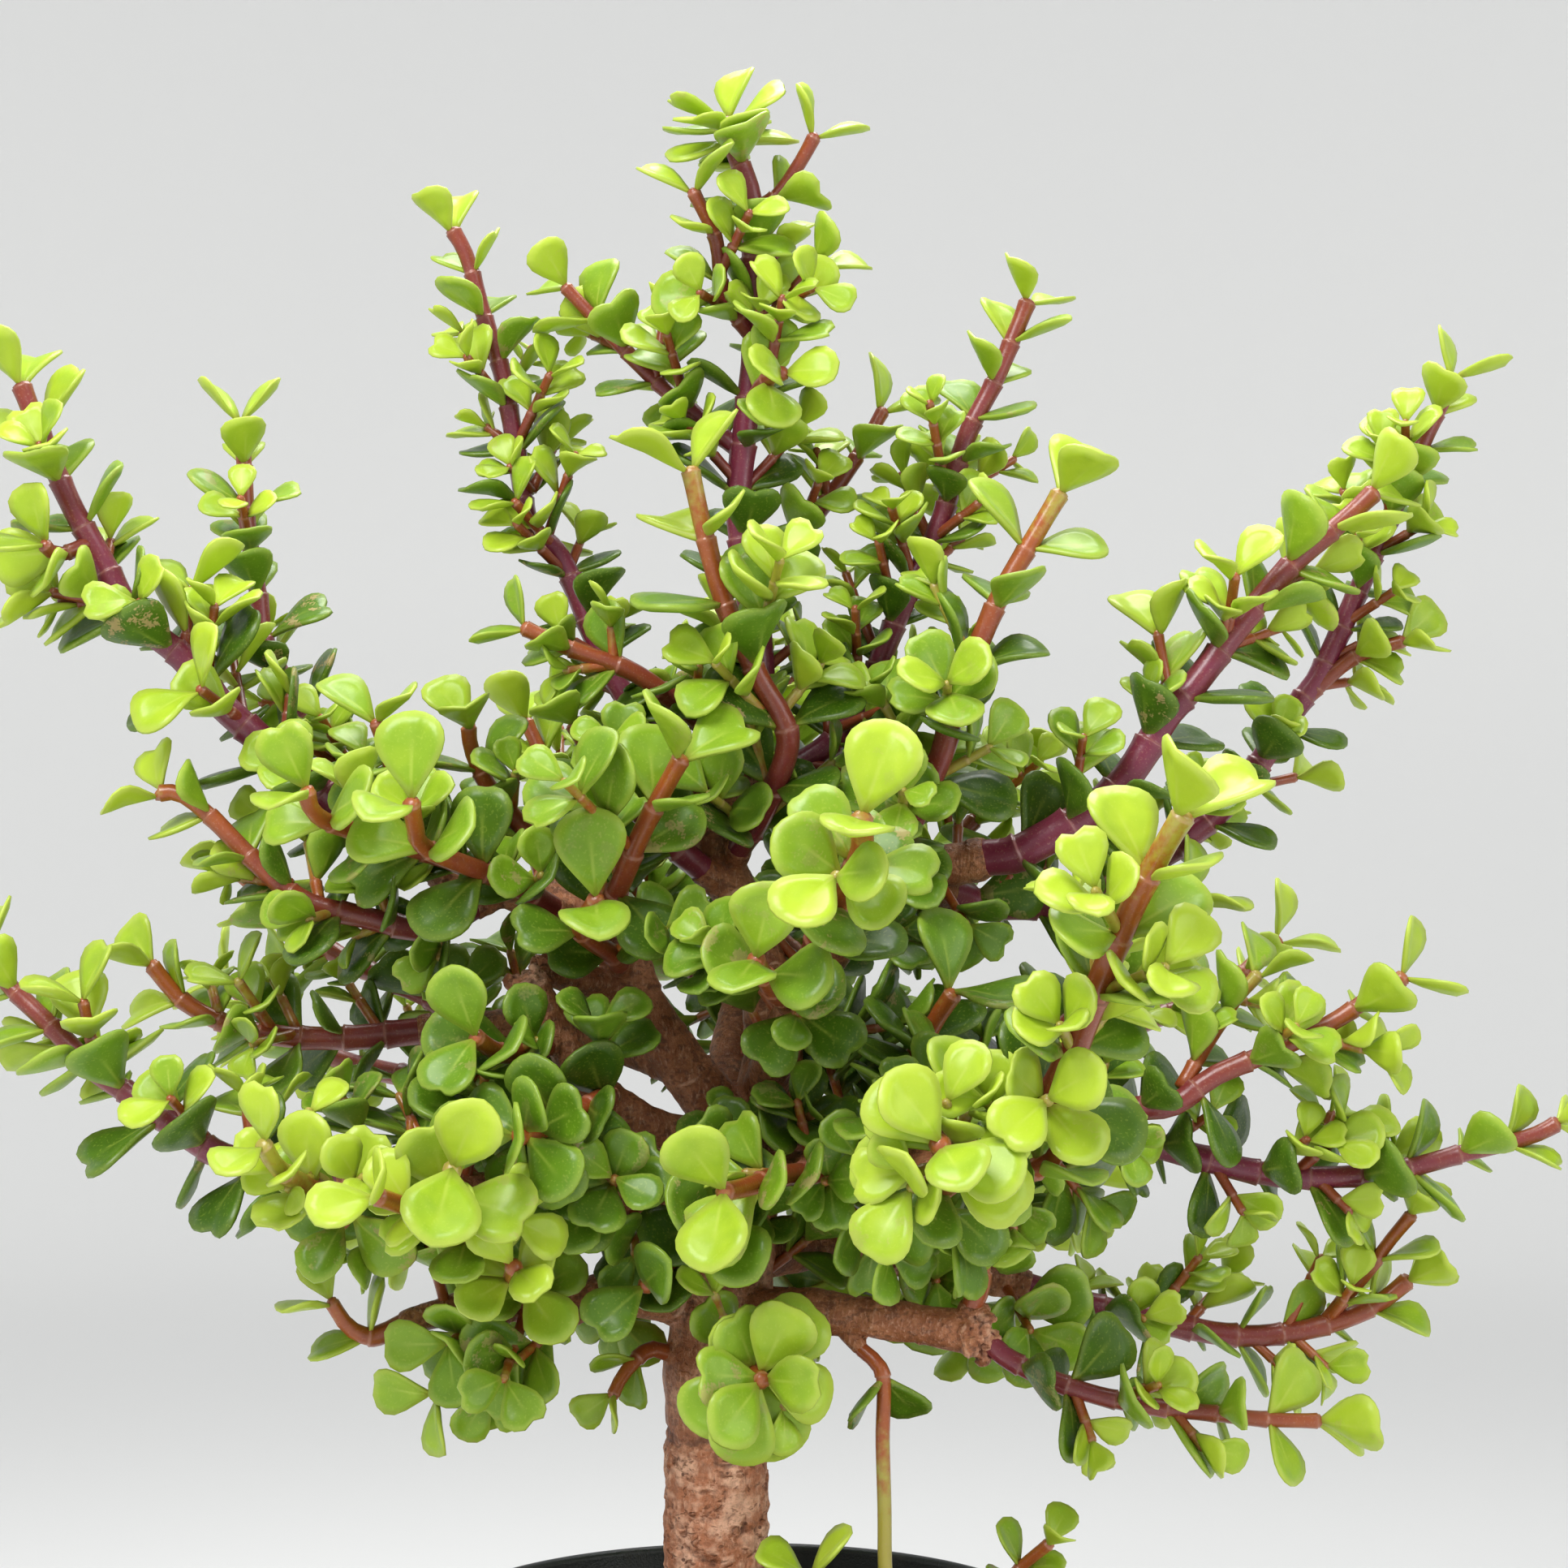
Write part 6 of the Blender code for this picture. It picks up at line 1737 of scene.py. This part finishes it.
class BONSAI_OT_trunk(bpy.types.Operator):
    """Model the trunk and its limbs as one skin, flaking on the trunk, ringed and pitted on the limbs"""
    bl_idname = "bonsai.trunk"
    bl_label = "Trunk"

    def limbs(self):
        """Each limb's tube, and a spot at each of its rings that guides the carving there."""
        for number, (name, limb) in enumerate(LIMB_STEMS.items()):
            _, way, _ = limb.frame(0.0)
            rings = [(limb.rounded(0.0) - way * LIMB_FOOT_CLOSED, POINTED, PLAIN)]
            for distance in np.arange(0.0, limb.length, WOOD_STEP):
                lump = 1.0 + LUMP_SHARE * noise.noise(Vector((distance / LUMP_LENGTH, LUMPS_FROM, number)))
                place = limb.rounded(distance)
                rings.append((place, limb.radius(distance) * lump, PLAIN))
                _, way, _ = limb.frame(distance)
                along = distance + number * RINGS_APART
                self.spots.append((place, limb.radius(distance), way, along, name == "stump"))
            out, share = LIMB_END
            rings.append((rings[-1][0] + way * out, rings[-1][1] * share, PLAIN))
            rings.append((rings[-1][0] + way * LIMB_END_CLOSED, POINTED, PLAIN))
            self.runs.append(rings)

    def stubs(self):
        """The stub under each shoot that grows out of a limb."""
        for name, shoot in SHOOTS.items():
            if shoot.limb == "soil":
                continue
            start, way, out = shoot_base(name, LIMB_STEMS)
            thick = shoot.radii[0]
            low, high = (thick * share for share in STUB_RADII)
            steps = ((-STUB_CLOSED[0], POINTED), (0.0, low), (out * STUB_EVEN_TO, low), (out, high),
                     (out + STUB_CLOSED[1], POINTED))
            self.runs.append([(start + way * step, radius, PLAIN) for step, radius in steps])
            self.spots.append((start + way * out, thick, way, out, False))

    def knobs(self):
        """The rough knobs that heal over each cut."""
        draw = random.Random("knobs")
        for name, count in KNOBS.items():
            limb = LIMB_STEMS[name]
            radius = limb.radius(limb.length)
            centre = limb.rounded(limb.length)
            _, way, _ = limb.frame(limb.length)
            self.cuts.append((centre, radius * CUT_REACH))
            for _ in range(count):
                side = way.orthogonal().normalized()
                side.rotate(Quaternion(way, draw.uniform(0, 2 * math.pi)))
                spot = centre + side * radius * draw.uniform(*KNOB_OUT) + way * draw.uniform(*KNOB_ALONG)
                size = draw.uniform(*KNOB_SIZES)
                lean = (side + way * draw.uniform(*KNOB_LEAN)).normalized()
                rings = [(-size, POINTED)] + [(step * size, size * thick) for step, thick in KNOB_RINGS]
                rings.append((size, POINTED))
                self.runs.append([(spot + lean * step, thick, PLAIN) for step, thick in rings])

    def carved(self, spot, tree, flake_depth):
        """What is stored for a vertex at a spot, and how far it moves out, in metres."""
        over_rim = spot - Vector((0, 0, POT_HEIGHT))
        found = tree.find_n(over_rim, NEAREST_SPOTS)
        _, nearest = min((away - self.spots[index][1], index) for _, index, away in found)
        centre, _, way, distance, stump = self.spots[nearest]
        lumps = waves(spot, SKIN_LUMPS)
        flakes = self.flakes(spot, over_rim.z)
        pit = self.pit(spot)
        if stump:
            edge = (over_rim.z - PEELED_TO) / PEELED_SLOPE + waves(spot, PEELED_WANDER)
            girth = 1.0 / (1.0 + math.exp(min(STEEPEST, edge * PEELED_SHARPNESS)))
            ring = bell(edge, PEELED_RIDGE[0]) * PEELED_RIDGE[1]
            groove = bell(edge - PEELED_GROOVE[0], PEELED_GROOVE[1]) * PEELED_GROOVE[2]
        else:
            girth = 0.0
            ring, groove = self.ring(distance + (over_rim - centre).dot(way), spot)
        if any((over_rim - middle).length < reach for middle, reach in self.cuts):
            girth = 1.0
            pit = max(pit, 1.0 - noise.voronoi(spot / CUT_PITS[0])[0][0] / CUT_PITS[1])
            flakes = CUT_FLAKES[0] + waves(spot, CUT_FLAKES[1])
            lumps += CUT_LUMPS[0] + waves(spot, CUT_LUMPS[1])
        height = SKIN_MIDDLE + lumps * 0.5 + min(ring, 1.0) * 0.5 - groove * GROOVE_SHADE
        shade = max(girth, STUMP_SHADE) if stump else girth
        lump = lumps * LUMP_HEIGHT * (1.0 - girth * FLAKED_LUMPS)
        shift = (ring * RING_HEIGHT - groove * GROOVE_DEPTH + lump - pit * PIT_DEPTH) * MM
        shift += girth * (flakes - FLAKE_MIDDLE) * flake_depth
        return (shade, flakes * girth + height * (1.0 - girth), pit), shift

    @staticmethod
    def ring(along, spot):
        """The raised ring that a fallen leaf pair leaves round a limb, and the groove under it."""
        away = (along + waves(spot, RING_WANDER)) % RING_STEP - RING_STEP / 2
        least, more, length = RING_FADE
        fade = least + more * noise.noise(spot / length + FADES_FROM)
        return bell(away, RING_WIDTH) * fade, bell(away + GROOVE_BELOW, GROOVE_WIDTH) * fade

    @staticmethod
    def pit(spot):
        """How deep in a small round hole the spot lies."""
        if noise.noise(spot / PIT_FIELDS + PIT_FIELDS_FROM) < PITTED:
            return 0.0
        return max(0.0, 1.0 - noise.voronoi(spot / PIT_STEP)[0][0] / PIT_WIDTH)

    @staticmethod
    def flakes(spot, height):
        """How high the bark stands there, from 0 in a crevice to 1 on a flake."""
        bent = spot + noise.noise_vector(spot / BARK_BEND[1]) * BARK_BEND[0]
        crack = abs(grained(bent, PLATES))
        curl = abs(grained(bent, CURLS, CURLS_FROM))
        scaly = max(bell(height, SCALY_FOOT), bell(height - PEELED_TO, SCALY_EDGE), LEAST_SCALY)
        plate = min(1.0, crack / CRACK_WIDTH) * (1.0 - scaly * (1.0 - min(1.0, curl / CURL_WIDTH)))
        low, plates, grain = FLAKE_LEVELS
        return max(0.0, min(FLAKE_MOST, low + plates * plate + grain * grained(bent, FINE_GRAIN)))

    def execute(self, context):
        settings = context.scene.bonsai_bark
        self.runs, self.spots, self.cuts = [], [], []
        self.limbs()
        self.stubs()
        self.knobs()
        trunk = tubes("trunk_skin", self.runs, WOOD_ROUNDNESS, "wood")
        trunk.data.remesh_voxel_size = settings.fineness
        bpy.ops.object.voxel_remesh()
        bpy.ops.object.shade_smooth()
        tree = KDTree(len(self.spots))
        for index, spot in enumerate(self.spots):
            tree.insert(spot[0], index)
        tree.balance()
        mesh = trunk.data
        places, normals = per_corner(mesh, "co"), per_corner(mesh, "normal")
        wood = np.zeros((len(places), 3))
        shifts = np.zeros(len(places))
        for index, place in enumerate(places):
            wood[index], shifts[index] = self.carved(Vector(place) / MM, tree, settings.flake_depth)
        move_to(mesh, places + normals * shifts[:, None])
        store(mesh, "wood", wood)
        finished(trunk, "woody_trunk", "bark", bark_paint(settings), "trunk")
        return {"FINISHED"}


STEM_ROUNDNESS = 3
SPRIG_ROUNDNESS = 2
# How much less purple a side stem is, how far a shoot's stem reaches into its stub, and the inner sprigs' hue
# and painted shade
SIDE_HUE = 0.25
INTO_STUB = 2.0
INNER_HUE = 0.2
# The inner sprigs' leaves are painted darker, as painted shade inside the crown
INNER_PAINTED_SHADE = 0.25


class BONSAI_OT_shoots(bpy.types.Operator):
    """Model every leafy shoot: its ringed stems, and its leaves, each bent to its own shape"""
    bl_idname = "bonsai.shoots"
    bl_label = "Shoots"

    def execute(self, context):
        stem_look = context.scene.bonsai_stem
        leaf_look = context.scene.bonsai_leaf
        skin = stem_paint(stem_look)
        green = leaf_paint(leaf_look)
        patterns = [leaf_pattern(corners_round) for corners_round in PATTERN_CORNERS]
        for name, stems in SHOOT_STEMS.items():
            hue = STEM_HUE.get(name, ORDINARY_HUE)
            runs = [stem_rings(stems[0], hue, stem_look.swell, INTO_STUB)]
            runs += [stem_rings(stem, hue - SIDE_HUE, stem_look.swell, 0.0) for stem in stems[1:]]
            made = tubes(name + "_stem", runs, STEM_ROUNDNESS, "growth")
            finished(made, name + "_stem", "stem", skin, name)
            made = leaf_cluster(name, SHOOT_LEAVES[name], patterns, LEAF_SHADE.get(name, 0.0), leaf_look.wave)
            finished(made, name + "_leaves", "foliage", green, name)
        runs = [stem_rings(stem, INNER_HUE, stem_look.swell, 0.0) for stems, _ in INNER for stem in stems]
        made = tubes("inner_stems", runs, SPRIG_ROUNDNESS, "growth")
        finished(made, "inner_sprig_stems", "stem", skin)
        leaves = [leaf for _, grown in INNER for leaf in grown]
        # The inner sprigs' leaves painted darker: painted shade inside the crown
        made = leaf_cluster("inner", leaves, patterns, INNER_PAINTED_SHADE, leaf_look.wave)
        finished(made, "inner_sprig_leaves", "foliage", green)
        for model, _, _ in patterns:
            bpy.data.objects.remove(model)
        return {"FINISHED"}


# The paper round the plant, in metres: a flat floor that bends up all round into a low wall
FLOOR_REACH = 1.7
BOWL_BEND = 0.8
BOWL_WALL = 1.0
BOWL_STEPS = 24
BOWL_TURNS = 64
BOWL_EDGE = 0.999
# The lamps: each one's place and size in metres, and all of them aimed at one place
LAMPS = (("key", (-0.45, -0.9, 1.3), 0.8), ("top", (0.05, 0.2, 1.05), 0.6), ("fill", (1.2, -0.9, 0.7), 1.0))
LIT_PLACE = Vector((0, 0, 0.3))
SKY_COLOUR = (0.93, 0.96, 1.0, 1.0)
CAMERA_PITCH = 93.32
SENSOR_WIDTH = 36.0
NEAREST_SEEN = 0.01


class BONSAI_OT_stage(bpy.types.Operator):
    """Set the pale floor and backdrop, the soft lights and the camera"""
    bl_idname = "bonsai.stage"
    bl_label = "Stage"

    def paper(self, context, settings):
        """The floor and the wall in one sweep of paper."""
        deselect()
        bpy.ops.mesh.primitive_grid_add(x_subdivisions=BOWL_STEPS, y_subdivisions=1, size=1.0)
        sweep = context.active_object
        run = per_corner(sweep.data, "co")[:, 0] + 0.5
        rise = np.clip(run * 2.0 - 1.0, 0.0, 1.0) * math.pi / 2
        reach = np.where(run < 0.5, run * 2.0 * FLOOR_REACH, FLOOR_REACH + BOWL_BEND * np.sin(rise))
        height = BOWL_BEND * (1.0 - np.cos(rise))
        height += (run > BOWL_EDGE) * BOWL_WALL
        move_to(sweep.data, np.stack((np.maximum(reach, POINTED * MM), reach * 0, height), axis=1))
        edit_all()
        bpy.ops.mesh.remove_doubles(threshold=POINTED * MM)
        spun(BOWL_TURNS)
        welded(MM, inside=True)
        bpy.ops.object.shade_smooth()
        sweep.name = "paper_sweep"
        sweep.data.materials.append(stage_paint(settings))

    def light(self, context, settings):
        """The three lamps, and the even brightness all round."""
        for name, place, size in LAMPS:
            deselect()
            bpy.ops.object.light_add(type="AREA", location=place)
            lamp = context.active_object
            lamp.name = name + "_light"
            lamp.data.shape = "DISK"
            lamp.data.size = size
            lamp.data.energy = getattr(settings, name)
            lamp.visible_camera = False
            lamp.rotation_euler = (LIT_PLACE - Vector(place)).to_track_quat("-Z", "Y").to_euler()
        world = bpy.data.worlds.new("studio")
        world.use_nodes = True
        sky = world.node_tree.nodes["Background"].inputs
        sky["Color"].default_value = SKY_COLOUR
        sky["Strength"].default_value = settings.sky
        context.scene.world = world
        context.scene.view_settings.view_transform = "Standard"

    def camera(self, context, settings):
        """The camera, where the limbs' and shoots' places are given from."""
        deselect()
        place = (EYE_X * MM, -EYE_DISTANCE * MM, (POT_HEIGHT + EYE_HEIGHT) * MM)
        bpy.ops.object.camera_add(location=place, rotation=(math.radians(CAMERA_PITCH), 0.0, 0.0))
        camera = context.active_object
        camera.name = "camera"
        camera.data.lens = settings.lens
        camera.data.sensor_width = SENSOR_WIDTH
        camera.data.clip_start = NEAREST_SEEN
        context.scene.camera = camera

    def execute(self, context):
        settings = context.scene.bonsai_stage
        self.paper(context, settings)
        self.light(context, settings)
        self.camera(context, settings)
        return {"FINISHED"}


class BONSAI_PT_panel(bpy.types.Panel):
    bl_label = "Dwarf Jade Bonsai"
    bl_idname = "BONSAI_PT_panel"
    bl_space_type = "VIEW_3D"
    bl_region_type = "UI"
    bl_category = "Bonsai"

    def draw(self, context):
        for operator, group in STEPS:
            column = self.layout.column(align=True)
            column.operator(operator.bl_idname)
            for settings in group:
                for name in SETTINGS[settings].__annotations__:
                    column.prop(getattr(context.scene, settings), name)


SETTINGS = {
    "bonsai_pot": PotSettings,
    "bonsai_soil": SoilSettings,
    "bonsai_bark": BarkSettings,
    "bonsai_stem": StemSettings,
    "bonsai_leaf": LeafSettings,
    "bonsai_stage": StageSettings,
}
STEPS = (
    (BONSAI_OT_pot, ("bonsai_pot",)),
    (BONSAI_OT_soil, ("bonsai_soil",)),
    (BONSAI_OT_trunk, ("bonsai_bark",)),
    (BONSAI_OT_shoots, ("bonsai_stem", "bonsai_leaf")),
    (BONSAI_OT_stage, ("bonsai_stage",)),
)
LIMB_STEMS, SHOOT_STEMS, SHOOT_LEAVES, INNER = grow()


def register():
    for name, group in SETTINGS.items():
        bpy.utils.register_class(group)
        setattr(bpy.types.Scene, name, bpy.props.PointerProperty(type=group))
    for operator, _ in STEPS:
        bpy.utils.register_class(operator)
    bpy.utils.register_class(BONSAI_PT_panel)


def unregister():
    bpy.utils.unregister_class(BONSAI_PT_panel)
    for operator, _ in reversed(STEPS):
        bpy.utils.unregister_class(operator)
    for name, group in reversed(SETTINGS.items()):
        delattr(bpy.types.Scene, name)
        bpy.utils.unregister_class(group)


def main():
    register()
    bpy.ops.bonsai.pot()
    bpy.ops.bonsai.soil()
    bpy.ops.bonsai.trunk()
    bpy.ops.bonsai.shoots()
    bpy.ops.bonsai.stage()


if __name__ == "__main__":
    main()
